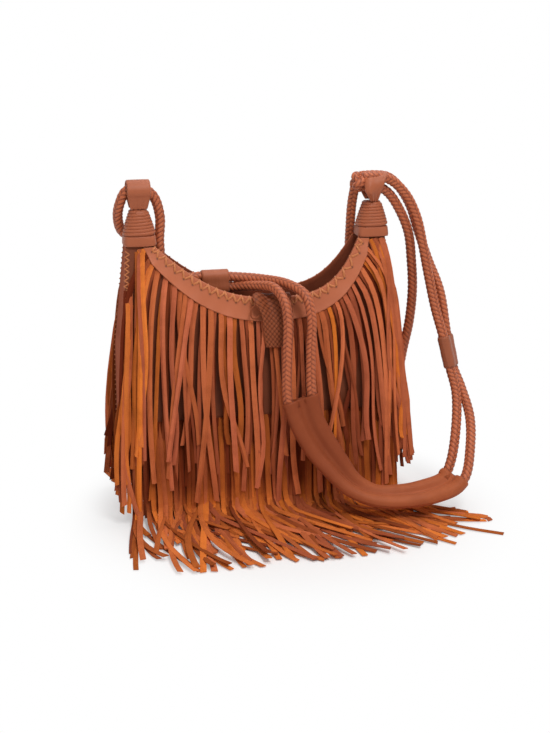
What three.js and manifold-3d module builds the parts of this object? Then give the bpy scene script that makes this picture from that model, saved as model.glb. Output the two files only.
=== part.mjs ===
// A fringed suede shoulder bag: a crescent pouch of two panels and a wrap-round gusset, two laced
// horns with a leather loop each, a doubled braided strap with a sleeve pad and two keepers, and
// two tiers of cut fringe on each side. Millimetres, +Z up, the front faces -Y.
import * as THREE from "three";
import { mergeVertices } from "three/addons/utils/BufferGeometryUtils.js";
import Module from "manifold-3d";

const wasm = await Module();
wasm.setup();

// Sizes of the pouch
const BODY_HALF_WIDTH = 162;
const CORNER_RADIUS = 70;
const RIM_LOW_Z = 246;
const HORN_Z = 312;
const RIM_HALF_WIDTH = 118;
const RIM_POWER = 2.8;
const HALF_DEPTH_BASE = 47;
const HALF_DEPTH_HORN = 12;
const DEPTH_POWER = 2.6;
const LEATHER = 2;
const SEAM_GAP = 0.5;
const GUSSET_GAP = 0.8;

// Sizes of the rim band
const BAND_WIDTH = 25;
const BAND_THICKNESS = 1.6;
const BAND_END_SHARE = 0.96;

// Sizes of the horns
const HORN_TAPER = 0.24;
const HORN_OUTER_X = BODY_HALF_WIDTH - (BODY_HALF_WIDTH - RIM_HALF_WIDTH) * HORN_TAPER;
const HORN_CENTRE_X = (RIM_HALF_WIDTH + HORN_OUTER_X) / 2 + 0.8;
const CUFF_BOTTOM_Z = HORN_Z + 1;
const CUFF_HEIGHT = 15;
const CUFF_WALL = 1.6;
const CUFF_EASE = 1.5;
const CUFF_HALF_WIDTH = (HORN_OUTER_X - RIM_HALF_WIDTH) / 2 + CUFF_WALL + CUFF_EASE;
const CUFF_HALF_DEPTH = HALF_DEPTH_HORN + CUFF_WALL + 2 * CUFF_EASE + 0.2;
const WRAP_TURNS = 7;
const WRAP_HEIGHT = 27;
const WRAP_TOP_HALF_WIDTH = 9.6;
const WRAP_TOP_HALF_DEPTH = 9.5;
const LACE_BULGE = 1.3;
const FIT_GAP = 0.3;
const LOOP_WIDTH = 26;
const LOOP_THICKNESS = 2.4;
const LEFT_LOOP_HEIGHT = 39;
const LEFT_LOOP_HALF_DEPTH = 13.2;
const RIGHT_LOOP_HEIGHT = 40;
const RIGHT_LOOP_HALF_DEPTH = 17.2;
const RIGHT_LOOP_TWIST_DEG = 8;

// Sizes of the strap
const CORD_DIAMETER = 11;
const CORD_SIDES = 8;
const CORD_CLEARANCE = 0.6;
const KEEPER_WALL = 1.7;
const KEEPER_LENGTH = 32;
const LEFT_KEEPER_X = -64;
const PAD_WALL = 3;
const PAD_VALLEY = 0.42;
const KNOT_CENTRE = [119, 0, 379];
const KNOT_RADII = [10.5, 14.5, 13];

// Sizes of the fringe
const STRIP_PITCH = 9.2;
const SLIT_WIDTH = 1.8;
const STRIP_THICKNESS = 1.4;
const HEADER_WIDTH = 7;
const HEADER_THICKNESS = 1.8;
const LAYER_STEP = 2.6;
const LAYERS = 3;
const UPPER_HEADER_REACH = 20;
const UPPER_BULGE = 4;
const UPPER_SEGMENTS = 4;
const LOWER_SEGMENTS = 6;
const LOWER_HEADER_Z = 116;
const LOWER_HEADER_HALF_WIDTH = 150;
const FLOOR_CLEARANCE = 0.4;
const FRONT_FLOOR_REACH = 150;
const BACK_FLOOR_REACH = 80;
const FRONT_FLOOR_SWEEP = 40;
const BACK_FLOOR_SWEEP = 8;
const FLOOR_SPREAD = 22;

// Sizes of the closure tab
const TAB_CENTRE_X = 13;
const TAB_HALF_WIDTH = 15;
const TAB_THICKNESS = 1.8;
const TAB_SINK = 20;
const TAB_DROP = 47;
const TAB_LIFT = 4.2;

const group = new THREE.Group();
group.name = "fringed_suede_bag";

const leather = (color, roughness) =>
  new THREE.MeshStandardMaterial({ color, roughness, metalness: 0 });

// Closed geometry with its faces turned outwards, only positions kept and shared vertices merged.
function closed(geometry) {
  const g = geometry.clone();
  for (const name of ["normal", "uv"]) g.deleteAttribute(name);
  const merged = mergeVertices(g, 1e-4);
  const p = merged.attributes.position;
  const index = merged.index.array;
  const a = new THREE.Vector3();
  const b = new THREE.Vector3();
  const c = new THREE.Vector3();
  let volume = 0;
  for (let i = 0; i < index.length; i += 3) {
    a.fromBufferAttribute(p, index[i]);
    b.fromBufferAttribute(p, index[i + 1]);
    c.fromBufferAttribute(p, index[i + 2]);
    volume += a.dot(b.cross(c));
  }
  if (volume < 0) {
    for (let i = 0; i < index.length; i += 3) {
      [index[i + 1], index[i + 2]] = [index[i + 2], index[i + 1]];
    }
  }
  return merged;
}

function toSolid(geometry) {
  const g = closed(geometry);
  return new wasm.Manifold(
    new wasm.Mesh({
      numProp: 3,
      vertProperties: new Float32Array(g.attributes.position.array),
      triVerts: new Uint32Array(g.index.array),
    }),
  );
}

function toGeometry(solid) {
  const m = solid.getMesh();
  const g = new THREE.BufferGeometry();
  g.setAttribute("position", new THREE.BufferAttribute(new Float32Array(m.vertProperties), 3));
  g.setIndex(new THREE.BufferAttribute(new Uint32Array(m.triVerts), 1));
  return g;
}

const join = (geometries) =>
  toGeometry(geometries.map(toSolid).reduce((sum, solid) => sum.add(solid)));

const cut = (geometry, tools) =>
  toGeometry(tools.map(toSolid).reduce((rest, tool) => rest.subtract(tool), toSolid(geometry)));

// A block of nu x nv x nw cells whose corners go where place(u, v, w) says, each from 0 to 1.
function bent(nu, nv, nw, place) {
  const g = new THREE.BoxGeometry(1, 1, 1, nu, nv, nw);
  const p = g.attributes.position;
  for (let i = 0; i < p.count; i += 1) {
    const v = place(p.getX(i) + 0.5, p.getY(i) + 0.5, p.getZ(i) + 0.5);
    p.setXYZ(i, v.x, v.y, v.z);
  }
  return g;
}

// A solid turned about Z from a closed profile, with its round section eased to a rounded box.
function oval(profile, sides, squareness, halves) {
  const points = profile.map(([r, z]) => new THREE.Vector2(r, z));
  const g = new THREE.LatheGeometry(points, sides);
  const p = g.attributes.position;
  for (let i = 0; i < p.count; i += 1) {
    const r = Math.hypot(p.getX(i), p.getZ(i));
    const angle = Math.atan2(p.getX(i), p.getZ(i));
    const c = Math.cos(angle);
    const s = Math.sin(angle);
    const power = 2 / squareness;
    const [a, b] = halves(r, p.getY(i));
    p.setXYZ(
      i,
      a * Math.sign(c) * Math.abs(c) ** power,
      b * Math.sign(s) * Math.abs(s) ** power,
      p.getY(i),
    );
  }
  return g;
}

function piece(name, geometry, material, at = [0, 0, 0]) {
  const mesh = new THREE.Mesh(closed(geometry), material);
  mesh.name = name;
  mesh.position.set(...at);
  group.add(mesh);
  return mesh;
}

// Even but uneven-looking numbers from 0 to 1 for the lie of each strip.
const scatter = (i, k) => {
  const s = Math.sin(i * 12.9898 + k * 78.233 + 4.1) * 43758.5453;
  return s - Math.floor(s);
};

const mix = (a, b, t) => a + (b - a) * t;

// Half of the pouch's depth at a height, and the line of its rim.
const halfDepth = (z) =>
  HALF_DEPTH_BASE -
  (HALF_DEPTH_BASE - HALF_DEPTH_HORN) * Math.max(0, z / HORN_Z) ** DEPTH_POWER;
const rimZ = (x) =>
  RIM_LOW_Z +
  (HORN_Z - RIM_LOW_Z) * Math.min(1, Math.abs(x) / RIM_HALF_WIDTH) ** RIM_POWER;

// The pouch: panel columns run from the rounded bottom edge to the rim or the horn top.
const HORN_TOP_Z = CUFF_BOTTOM_Z + CUFF_HEIGHT - 4;
const FLAT_HALF = BODY_HALF_WIDTH - CORNER_RADIUS;
const half = [0, 22, 44, 66, 84, 92];
const corner = [14, 29, 45, 62, 90].map(
  (deg) => FLAT_HALF + CORNER_RADIUS * Math.sin(THREE.MathUtils.degToRad(deg)),
);
const right = [...half, ...corner, RIM_HALF_WIDTH, RIM_HALF_WIDTH + 1.5, RIM_HALF_WIDTH + 4];
right.sort((a, b) => a - b);
const columns = [...right.slice(1).map((x) => -x).reverse(), ...right];
const bottomZ = (x) => {
  const over = Math.min(CORNER_RADIUS, Math.max(0, Math.abs(x) - FLAT_HALF));
  return CORNER_RADIUS - Math.sqrt(CORNER_RADIUS ** 2 - over ** 2);
};
const topZ = (x) => (Math.abs(x) > RIM_HALF_WIDTH + 3 ? HORN_TOP_Z : rimZ(x));
// The sides draw in a little towards the horns.
function drawnIn(x, z) {
  const over = Math.max(0, Math.abs(x) - RIM_HALF_WIDTH);
  const share = Math.max(0, Math.min(1, (z - 190) / (HORN_Z - 190)));
  return Math.sign(x) * (Math.abs(x) - over * HORN_TAPER * share);
}

function panel(side) {
  return bent(columns.length - 1, 5, 1, (u, v, w) => {
    const x = columns[Math.round(u * (columns.length - 1))];
    const z = mix(bottomZ(x), topZ(x), v);
    return new THREE.Vector3(drawnIn(x, z), side * (halfDepth(z) - w * LEATHER), z);
  });
}

// The gusset's line, from the top of the left horn round the bottom to the top of the right horn.
function outline(t) {
  const side = HORN_TOP_Z - CORNER_RADIUS;
  const arc = (Math.PI / 2) * CORNER_RADIUS;
  const length = 2 * side + 2 * arc + 2 * FLAT_HALF;
  const half = Math.abs(t - 0.5) * length;
  const sign = t < 0.5 ? -1 : 1;
  if (half <= FLAT_HALF) return [sign * half, 0, 0, 1];
  if (half <= FLAT_HALF + arc) {
    const a = (half - FLAT_HALF) / CORNER_RADIUS;
    return [
      sign * (FLAT_HALF + CORNER_RADIUS * Math.sin(a)),
      CORNER_RADIUS * (1 - Math.cos(a)),
      -sign * Math.sin(a),
      Math.cos(a),
    ];
  }
  return [sign * BODY_HALF_WIDTH, CORNER_RADIUS + half - FLAT_HALF - arc, -sign, 0];
}

const gusset = bent(40, 2, 1, (u, v, w) => {
  const [x, z, nx, nz] = outline(u);
  const px = x + nx * LEATHER * w;
  const pz = z + nz * LEATHER * w;
  const y = mix(-1, 1, v) * (halfDepth(pz) - LEATHER - GUSSET_GAP);
  return new THREE.Vector3(drawnIn(px, pz), y, pz);
});

// The rim line with its downward normal: a point that lies "down" below the rim.
function belowRim(s, down) {
  const reach = RIM_HALF_WIDTH * BAND_END_SHARE;
  const x = Math.max(-1, Math.min(1, s)) * reach;
  const step = 0.01;
  const slope = (rimZ(x + step) - rimZ(x - step)) / (2 * step);
  const n = Math.hypot(1, slope);
  const beyond = (Math.abs(s) > 1 ? Math.sign(s) * (Math.abs(s) - 1) : 0) * reach;
  return [
    x + (slope / n) * down + beyond / n,
    rimZ(x) - (1 / n) * down + (beyond * slope) / n,
  ];
}

// The band's two end columns run up to just under the cuffs.
function rimBand(side) {
  const cells = 30;
  return bent(cells, 1, 1, (u, v, w) => {
    const column = Math.round(u * cells);
    const last = column === 0 || column === cells;
    const [x, z] = last
      ? [(u < 0.5 ? -1 : 1) * (RIM_HALF_WIDTH + 0.8 + v * BAND_WIDTH * 0.85), HORN_Z + 0.5]
      : belowRim(mix(-1, 1, (column - 1) / (cells - 2)), v * BAND_WIDTH);
    const out = halfDepth(z) + SEAM_GAP + w * BAND_THICKNESS;
    return new THREE.Vector3(x, side * out, z);
  });
}

// A strip of leather slit into a fringe: a header of 2 n + 1 cells, every second one carrying a
// strip. header(d, v, w) and strip(i, across, t, w) say where the corners of each one go.
function comb(length, count, segments, header, strip) {
  const pitch = length / count;
  const cells = 2 * count + 1;
  const edge = (j) => {
    if (j === 0) return 0;
    if (j === cells) return length;
    return j % 2 ? ((j - 1) / 2) * pitch + SLIT_WIDTH / 2 : (j / 2) * pitch - SLIT_WIDTH / 2;
  };
  const band = bent(cells, 1, 1, (u, v, w) => header(edge(Math.round(u * cells)), v, w));
  const corners = [];
  const add = (g, drop) => {
    const index = g.index.array;
    const p = g.attributes.position;
    for (let f = 0; f < index.length; f += 6) {
      if (drop(f)) continue;
      for (let k = f; k < f + 6; k += 1) {
        corners.push(p.getX(index[k]), p.getY(index[k]), p.getZ(index[k]));
      }
    }
  };
  const under = band.groups.find((part) => part.materialIndex === 3).start;
  add(band, (f) => f >= under && f < under + 6 * cells && ((f - under) / 6) % 2 === 1);
  for (let i = 0; i < count; i += 1) {
    const one = bent(1, segments, 1, (u, v, w) =>
      v > 0.999
        ? header(edge(2 * i + 1 + Math.round(u)), 0, w)
        : strip(i, (u - 0.5) * (pitch - SLIT_WIDTH), 1 - v, w),
    );
    const top = one.groups.find((part) => part.materialIndex === 2).start;
    add(one, (f) => f === top);
  }
  const g = new THREE.BufferGeometry();
  g.setAttribute("position", new THREE.BufferAttribute(new Float32Array(corners), 3));
  return mergeVertices(g, 1e-4);
}

// A point of a hanging strip: broad across its path and thin outwards.
function onStrip(path, t, across, w, side) {
  const at = path(t);
  const along = path(Math.min(1, t + 0.03)).sub(path(Math.max(0, t - 0.03))).normalize();
  const broad = new THREE.Vector3(1, 0, 0).addScaledVector(along, -along.x).normalize();
  const out = new THREE.Vector3().crossVectors(along, broad).multiplyScalar(-side);
  return at.addScaledVector(broad, across).addScaledVector(out, (w - 0.5) * STRIP_THICKNESS);
}

// The upper tier: a header under the rim band and strips that hang over each other.
function upperTier(side, seed) {
  const reach = RIM_HALF_WIDTH * BAND_END_SHARE;
  const over = UPPER_HEADER_REACH / reach;
  const below = BAND_WIDTH + FIT_GAP + 0.4;
  const at = (share, down) => belowRim(mix(-1 - over, 1 + over, share), down);
  const stops = [0];
  const samples = 400;
  for (let i = 1; i <= samples; i += 1) {
    const [x0, z0] = at((i - 1) / samples, below);
    const [x1, z1] = at(i / samples, below);
    stops.push(stops[i - 1] + Math.hypot(x1 - x0, z1 - z0));
  }
  const length = stops[samples];
  const share = (d) => {
    const k = Math.max(1, stops.findIndex((stop) => stop >= d - 1e-6));
    return (k - 1 + (d - stops[k - 1]) / (stops[k] - stops[k - 1])) / samples;
  };
  const count = Math.floor(length / STRIP_PITCH);
  const header = (d, v, w) => {
    const [x, z] = at(share(d), below + (1 - v) * HEADER_WIDTH);
    return new THREE.Vector3(x, side * (halfDepth(z) + SEAM_GAP + w * HEADER_THICKNESS), z);
  };
  const strip = (i, across, t, w) => {
    const mid = share(((i + 0.5) * length) / count);
    const [xa, za] = at(mid, below);
    const [x0, z0] = at(mid, below + HEADER_WIDTH);
    const lean = (x0 - xa) / Math.hypot(x0 - xa, z0 - za);
    const layer = i % LAYERS;
    const tipX = x0 * 1.08 + (scatter(i, seed) - 0.5) * 7;
    const tipZ = mix(58, 100, scatter(i, seed + 1)) + 30 * Math.abs(x0 / 140) ** 2;
    const bulge = UPPER_BULGE * (0.6 + 0.8 * scatter(i, seed + 2));
    const path = (q) => {
      const z = mix(z0, tipZ, q);
      const layers = Math.min(1, q * 6) * (2.4 + layer * LAYER_STEP);
      const swell = bulge * Math.sin(Math.PI * Math.min(1, q * 1.1)) + 9 * q * q;
      const out = halfDepth(z) + SEAM_GAP + HEADER_THICKNESS / 2 + layers + swell;
      const x = mix(x0, tipX, q) + lean * 10 * (1 - Math.exp(-7 * q));
      return new THREE.Vector3(x, side * out, z);
    };
    return onStrip(path, t ** 1.3, across, w, side);
  };
  return comb(length, count, UPPER_SEGMENTS, header, strip);
}

// The lower tier: a header across the panel and strips that run down and out over the floor.
function lowerTier(side, seed, floorReach, sweep) {
  const length = 2 * LOWER_HEADER_HALF_WIDTH;
  const count = Math.floor(length / STRIP_PITCH);
  const header = (d, v, w) => {
    const z = LOWER_HEADER_Z + v * HEADER_WIDTH;
    const out = halfDepth(z) + SEAM_GAP + w * HEADER_THICKNESS;
    return new THREE.Vector3(d - length / 2, side * out, z);
  };
  const strip = (i, across, t, w) => {
    const x0 = ((i + 0.5) / count - 0.5) * length;
    const layer = i % LAYERS;
    const outX = x0 / LOWER_HEADER_HALF_WIDTH;
    const spread = FLOOR_SPREAD * (outX ** 3 + scatter(i, seed) - 0.5);
    const tipX = x0 + sweep * (1 + 0.35 * outX) + spread;
    const reach = floorReach * (mix(0.6, 1.06, scatter(i, seed + 1)) - 0.16 * Math.abs(outX) ** 3);
    const lowest = FLOOR_CLEARANCE + STRIP_THICKNESS / 2 + layer * 1.8;
    const path = (q) => {
      const z = lowest + (LOWER_HEADER_Z - lowest) * (1 - q) ** 2.4;
      const away = Math.min(1, q * 5) * layer * 1.3 + reach * q ** 3;
      const out = halfDepth(Math.max(z, 40)) + SEAM_GAP + HEADER_THICKNESS / 2 + away;
      return new THREE.Vector3(mix(x0, tipX, q ** 2.4), side * out, z);
    };
    return onStrip(path, t ** 0.9, across, w, side);
  };
  return comb(length, count, LOWER_SEGMENTS, header, strip);
}

// The horns: a cuff open at the bottom, a wound lace over the gathered horn, and the loop's seat.
const WRAP_BOTTOM_Z = CUFF_BOTTOM_Z + CUFF_HEIGHT + FIT_GAP;
const LOOP_SEAT_Z = WRAP_BOTTOM_Z + WRAP_HEIGHT + FIT_GAP;
const CUFF_TOP_SHARE = 0.9;

function cuff() {
  const inner = 1 - CUFF_WALL / CUFF_HALF_WIDTH;
  const share = (z) => mix(1, CUFF_TOP_SHARE, z / CUFF_HEIGHT);
  const profile = [
    [inner, 0],
    [1, 0],
    [1, 1.2],
    [share(CUFF_HEIGHT * 0.5), CUFF_HEIGHT * 0.5],
    [share(CUFF_HEIGHT) * 0.98, CUFF_HEIGHT],
    [0, CUFF_HEIGHT],
    [0, CUFF_HEIGHT - 2],
    [inner * 0.97, CUFF_HEIGHT - 3],
    [inner, 0],
  ];
  return oval(profile, 16, 5, (r) => [r * CUFF_HALF_WIDTH, r * CUFF_HALF_DEPTH]);
}

function laceWrap() {
  const profile = [[0, 0]];
  const turn = WRAP_HEIGHT / WRAP_TURNS;
  for (let i = 0; i < WRAP_TURNS; i += 1) {
    profile.push([0.4, i * turn], [1, (i + 0.5) * turn]);
  }
  profile.push([0.4, WRAP_HEIGHT], [0, WRAP_HEIGHT]);
  const a0 = CUFF_HALF_WIDTH * CUFF_TOP_SHARE * 0.92;
  const b0 = CUFF_HALF_DEPTH * CUFF_TOP_SHARE * 0.92;
  return oval(profile, 12, 2.6, (r, z) => {
    if (r < 1e-5) return [0, 0];
    const t = (z / WRAP_HEIGHT) ** 0.8;
    const raise = r > 0.5 ? LACE_BULGE : 0;
    return [mix(a0, WRAP_TOP_HALF_WIDTH, t) + raise, mix(b0, WRAP_TOP_HALF_DEPTH, t) + raise];
  });
}

// A strap loop: an upright arch of leather that narrows to its seat, its eye running along X.
function loop(height, halfDepthY, twistDeg) {
  const foot = 0.55 * halfDepthY;
  const arch = (inset) => {
    const h = halfDepthY - inset;
    const points = [];
    for (let i = 0; i <= 16; i += 1) {
      const a = mix(-0.5, Math.PI + 0.5, i / 16);
      const s = Math.sin(a);
      points.push([h * Math.cos(a), height - halfDepthY - inset * 0 + (s > 0 ? h : h * 0.8) * s]);
    }
    return [[foot - inset * 0.9, 0], ...points, [-foot + inset * 0.9, 0]];
  };
  const shape = new THREE.Shape(
    [...arch(0), ...arch(LOOP_THICKNESS).reverse()].map(([y, z]) => new THREE.Vector2(y, z)),
  );
  const g = new THREE.ExtrudeGeometry(shape, { depth: 1, steps: 2, bevelEnabled: false });
  const p = g.attributes.position;
  for (let i = 0; i < p.count; i += 1) {
    const z = p.getY(i);
    const narrow = mix(0.72, 1, Math.min(1, z / 14));
    const x = (p.getZ(i) - 0.5) * LOOP_WIDTH * narrow;
    const turn = THREE.MathUtils.degToRad(twistDeg) * (z / height);
    const y = p.getX(i);
    p.setXYZ(i, x * Math.cos(turn) - y * Math.sin(turn), x * Math.sin(turn) + y * Math.cos(turn), z);
  }
  return g;
}

// The braided cord's route, from the knot at the right horn down to the right keeper, through the
// pad, over the mouth to the bight in the left loop and back beside itself to the knot.
const HORN_STRETCH_OUT = [
  [125, -6.2, 382], [143, -6.6, 382.3], [160, -5, 377], [178, -5, 360], [191, -7, 334],
  [198, -12, 302], [204, -19, 266], [210, -30, 228],
];
const KEEPER_STRETCH_OUT = [[214, -38, 196], [221, -46, 160]];
const RISE_OUT = [[225, -62, 128], [220, -86, 95], [209, -103, 66]];
const PAD_STRETCH_OUT = [
  [198, -112, 45], [176, -110, 33], [150, -107, 31], [124, -102, 38], [101, -94, 58],
  [78, -87, 88], [58, -81, 116], [48, -76, 145],
];
const MOUTH_STRETCH = [
  [48, -70, 197], [50, -65, 232], [46, -54, 256], [32, -31, 265], [6, -5, 269],
  [-27, 5, 271.5], [-64, 5, 272.5], [-98, 0, 288], [-110, 2, 312], [-110, 4, 345],
  [-118, 1.5, 369], [-135, 0, 379], [-150, 0.5, 372], [-158, 3.5, 359], [-161, 12, 343],
  [-155, 21, 325], [-135, 25, 316], [-110, 23, 313], [-93, 14, 292], [-78, 8, 265],
  [-61, 5, 258.8], [-28, 5, 258.5], [-4, -14, 260.5], [13, -38, 262], [21, -54, 251],
  [23, -64, 230], [21, -70, 197],
];
const PAD_STRETCH_BACK = [
  [20, -77, 142], [27, -83, 112], [42, -91, 80], [64, -104, 52], [92, -120, 32],
  [124, -131, 23], [155, -135, 21], [184, -136, 24], [207, -136, 35],
];
const RISE_BACK = [[223, -128, 50], [234, -106, 78], [239, -78, 110], [237, -56, 138]];
const KEEPER_STRETCH_BACK = [[233, -46, 160], [226.5, -38, 196]];
const HORN_STRETCH_BACK = [
  [219, -18, 246], [209, 2, 283], [200, 13, 315], [190, 16, 345], [173, 12, 369],
  [158, 7.5, 380], [143, 6.6, 382.3], [125, 6.2, 382],
];
const TAIL_BACK = [
  [117.5, 4, 371], [115, 11.5, 348], [116, 24, 312], [119, 34, 287], [122, 46, 256],
  [124, 56, 224], [125, 62, 190], [126, 67, 148],
];
const TAIL_SIDE = [
  [125, 0, 370.6], [143, 0, 370.6], [157, 0.5, 363], [170, 1, 346], [184, 2, 316],
  [190, 4, 280], [193, 6, 243], [191, 9, 203], [185, 13, 165], [180, 15, 125], [178, 15, 96],
];
const CORD_RADIUS = CORD_DIAMETER / 2;
const STRAP_STEPS = 82;
const TAIL_STEPS = 7;

const curveOf = (points) =>
  new THREE.CatmullRomCurve3(points.map((p) => new THREE.Vector3(...p)), false, "centripetal");

function tube(points, radius, steps) {
  const section = new THREE.Shape();
  for (let i = 0; i < CORD_SIDES; i += 1) {
    const a = (i / CORD_SIDES) * 2 * Math.PI;
    const at = [radius * Math.cos(a), radius * Math.sin(a)];
    if (i === 0) section.moveTo(...at);
    else section.lineTo(...at);
  }
  return new THREE.ExtrudeGeometry(section, {
    steps,
    curveSegments: 1,
    bevelEnabled: false,
    extrudePath: curveOf(points),
  });
}

const STRAP = [
  ...HORN_STRETCH_OUT, ...KEEPER_STRETCH_OUT, ...RISE_OUT, ...PAD_STRETCH_OUT, ...MOUTH_STRETCH,
  ...PAD_STRETCH_BACK, ...RISE_BACK, ...KEEPER_STRETCH_BACK, ...HORN_STRETCH_BACK,
];
const cords = [
  ["strap_cord", STRAP, STRAP_STEPS],
  ["strap_tail_back", TAIL_BACK, TAIL_STEPS],
  ["strap_tail_side", TAIL_SIDE, TAIL_STEPS + 2],
];
// The bores run a little past the cord's ends, so that an end never touches what holds it.
function lengthened(points) {
  const vectors = points.map((p) => new THREE.Vector3(...p));
  const ends = [[0, 1], [points.length - 1, points.length - 2]].map(([i, j]) =>
    vectors[i].clone().add(vectors[i].clone().sub(vectors[j]).setLength(CORD_CLEARANCE)),
  );
  return [ends[0].toArray(), ...points.slice(1, -1), ends[1].toArray()];
}
const bores = cords.map(([, points, steps]) =>
  tube(lengthened(points), CORD_RADIUS + CORD_CLEARANCE, steps),
);

// A sleeve that runs between two stretches of cord: its section is a rounded bar, with a valley.
function sleeve(a, b, segments, wall, valley) {
  const curveA = curveOf(a);
  const curveB = curveOf(b);
  return bent(segments, 7, 1, (u, v, w) => {
    const p = curveA.getPointAt(u);
    const q = curveB.getPointAt(u);
    const centre = p.clone().add(q).multiplyScalar(0.5);
    const across = p.clone().sub(q);
    const spread = across.length() / 2;
    across.normalize();
    const t0 = Math.max(0, u - 0.02);
    const t1 = Math.min(1, u + 0.02);
    const along = curveA.getPointAt(t1).sub(curveA.getPointAt(t0));
    along.add(curveB.getPointAt(t1).sub(curveB.getPointAt(t0))).normalize();
    across.addScaledVector(along, -along.dot(across)).normalize();
    const out = new THREE.Vector3().crossVectors(along, across);
    const r = CORD_RADIUS + CORD_CLEARANCE + wall;
    const angle = (v - 0.5) * Math.PI;
    const s = Math.sign(angle) * Math.abs(Math.sin(angle)) ** 0.85;
    const reach = s * (spread + r);
    const over = Math.max(0, Math.abs(reach) - spread);
    const lobe = Math.sqrt(Math.max(0.0625 * r * r, r * r - over * over));
    const dip = 1 - valley * Math.exp(-((reach / (spread * 0.45)) ** 2));
    const side = (w - 0.5) * 2;
    return centre
      .addScaledVector(across, reach)
      .addScaledVector(out, side * lobe * (side > 0 ? dip : 1));
  });
}

// The closure tab: sewn inside the back panel, it crosses the mouth and folds over the front rim.
const RIM_DEPTH = halfDepth(RIM_LOW_Z);
const TAB_LINE = [
  [halfDepth(RIM_LOW_Z - TAB_SINK) - LEATHER - 2.2, -TAB_SINK], [0.71 * RIM_DEPTH, -0.4 * TAB_SINK],
  [0.14 * RIM_DEPTH, -0.15 * TAB_SINK], [-0.57 * RIM_DEPTH, 0.36 * TAB_LIFT],
  [-RIM_DEPTH + 2, TAB_LIFT], [-RIM_DEPTH - 7, 0.36 * TAB_LIFT], [-1.55 * RIM_DEPTH, -0.17 * TAB_DROP],
  [-1.74 * RIM_DEPTH, -0.55 * TAB_DROP], [-1.83 * RIM_DEPTH, -TAB_DROP],
];
function closureTab() {
  const line = new THREE.CatmullRomCurve3(
    TAB_LINE.map(([y, z]) => new THREE.Vector3(0, y, RIM_LOW_Z + z)), false, "centripetal",
  );
  return bent(16, 2, 1, (u, v, w) => {
    const at = line.getPointAt(u);
    const along = line.getTangentAt(u);
    const out = new THREE.Vector3(0, -along.z, along.y);
    const width = TAB_HALF_WIDTH * (u > 0.8 ? mix(1, 0.82, (u - 0.8) / 0.2) : 1);
    at.x = TAB_CENTRE_X + mix(-width, width, v);
    return at.addScaledVector(out, (w - 0.5) * TAB_THICKNESS);
  });
}

const suede = leather(0xb06a3f, 0.85);
const smooth = leather(0xb5693f, 0.6);
const orange = leather(0xc4742f, 0.85);
const braid = leather(0xb0603a, 0.65);

piece("front_panel", panel(-1), suede);
piece("back_panel", panel(1), suede);
piece("gusset", gusset, suede);
piece("front_rim_band", rimBand(-1), smooth);
piece("back_rim_band", rimBand(1), smooth);
piece("front_upper_fringe", upperTier(-1, 1), suede);
piece("back_upper_fringe", upperTier(1, 5), suede);
piece("front_lower_fringe", lowerTier(-1, 9, FRONT_FLOOR_REACH, FRONT_FLOOR_SWEEP), orange);
piece("back_lower_fringe", lowerTier(1, 14, BACK_FLOOR_REACH, BACK_FLOOR_SWEEP), orange);
for (const [name, sign] of [["left", -1], ["right", 1]]) {
  const x = sign * HORN_CENTRE_X;
  piece(name + "_horn_cuff", cuff(), smooth, [x, 0, CUFF_BOTTOM_Z]);
  piece(name + "_lace_wrap", laceWrap(), smooth, [x, 0, WRAP_BOTTOM_Z]);
}
piece(
  "left_horn_loop",
  loop(LEFT_LOOP_HEIGHT, LEFT_LOOP_HALF_DEPTH, 0),
  smooth,
  [-HORN_CENTRE_X, 0, LOOP_SEAT_Z],
);
piece(
  "right_horn_loop",
  loop(RIGHT_LOOP_HEIGHT, RIGHT_LOOP_HALF_DEPTH, RIGHT_LOOP_TWIST_DEG),
  smooth,
  [HORN_CENTRE_X + 3, 0, LOOP_SEAT_Z],
);
piece("closure_tab", closureTab(), suede);
for (const [name, points, steps] of cords) piece(name, tube(points, CORD_RADIUS, steps), braid);

const rightKeeper = sleeve(
  KEEPER_STRETCH_OUT, [...KEEPER_STRETCH_BACK].reverse(), 2, KEEPER_WALL, 0,
);
piece("right_keeper", cut(rightKeeper, [bores[0]]), smooth);
const keeperX = [LEFT_KEEPER_X, LEFT_KEEPER_X + KEEPER_LENGTH];
piece(
  "left_keeper",
  cut(
    sleeve(
      keeperX.map((x) => [x, 5, 272.2]),
      keeperX.map((x) => [x, 5, 258.6]),
      2,
      KEEPER_WALL,
      0,
    ),
    [bores[0]],
  ),
  smooth,
);
const pad = sleeve(
  PAD_STRETCH_OUT, [...PAD_STRETCH_BACK].reverse(), 11, PAD_WALL, PAD_VALLEY,
);
piece("shoulder_pad", cut(pad, [bores[0]]), smooth);
const knot = new THREE.SphereGeometry(1, 10, 7).scale(...KNOT_RADII).translate(...KNOT_CENTRE);
piece("strap_knot", cut(knot, bores), braid);

export default group;
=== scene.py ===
"""A fringed suede shoulder bag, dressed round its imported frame. Metres, +Z up, the front faces -Y."""

import math

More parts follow.
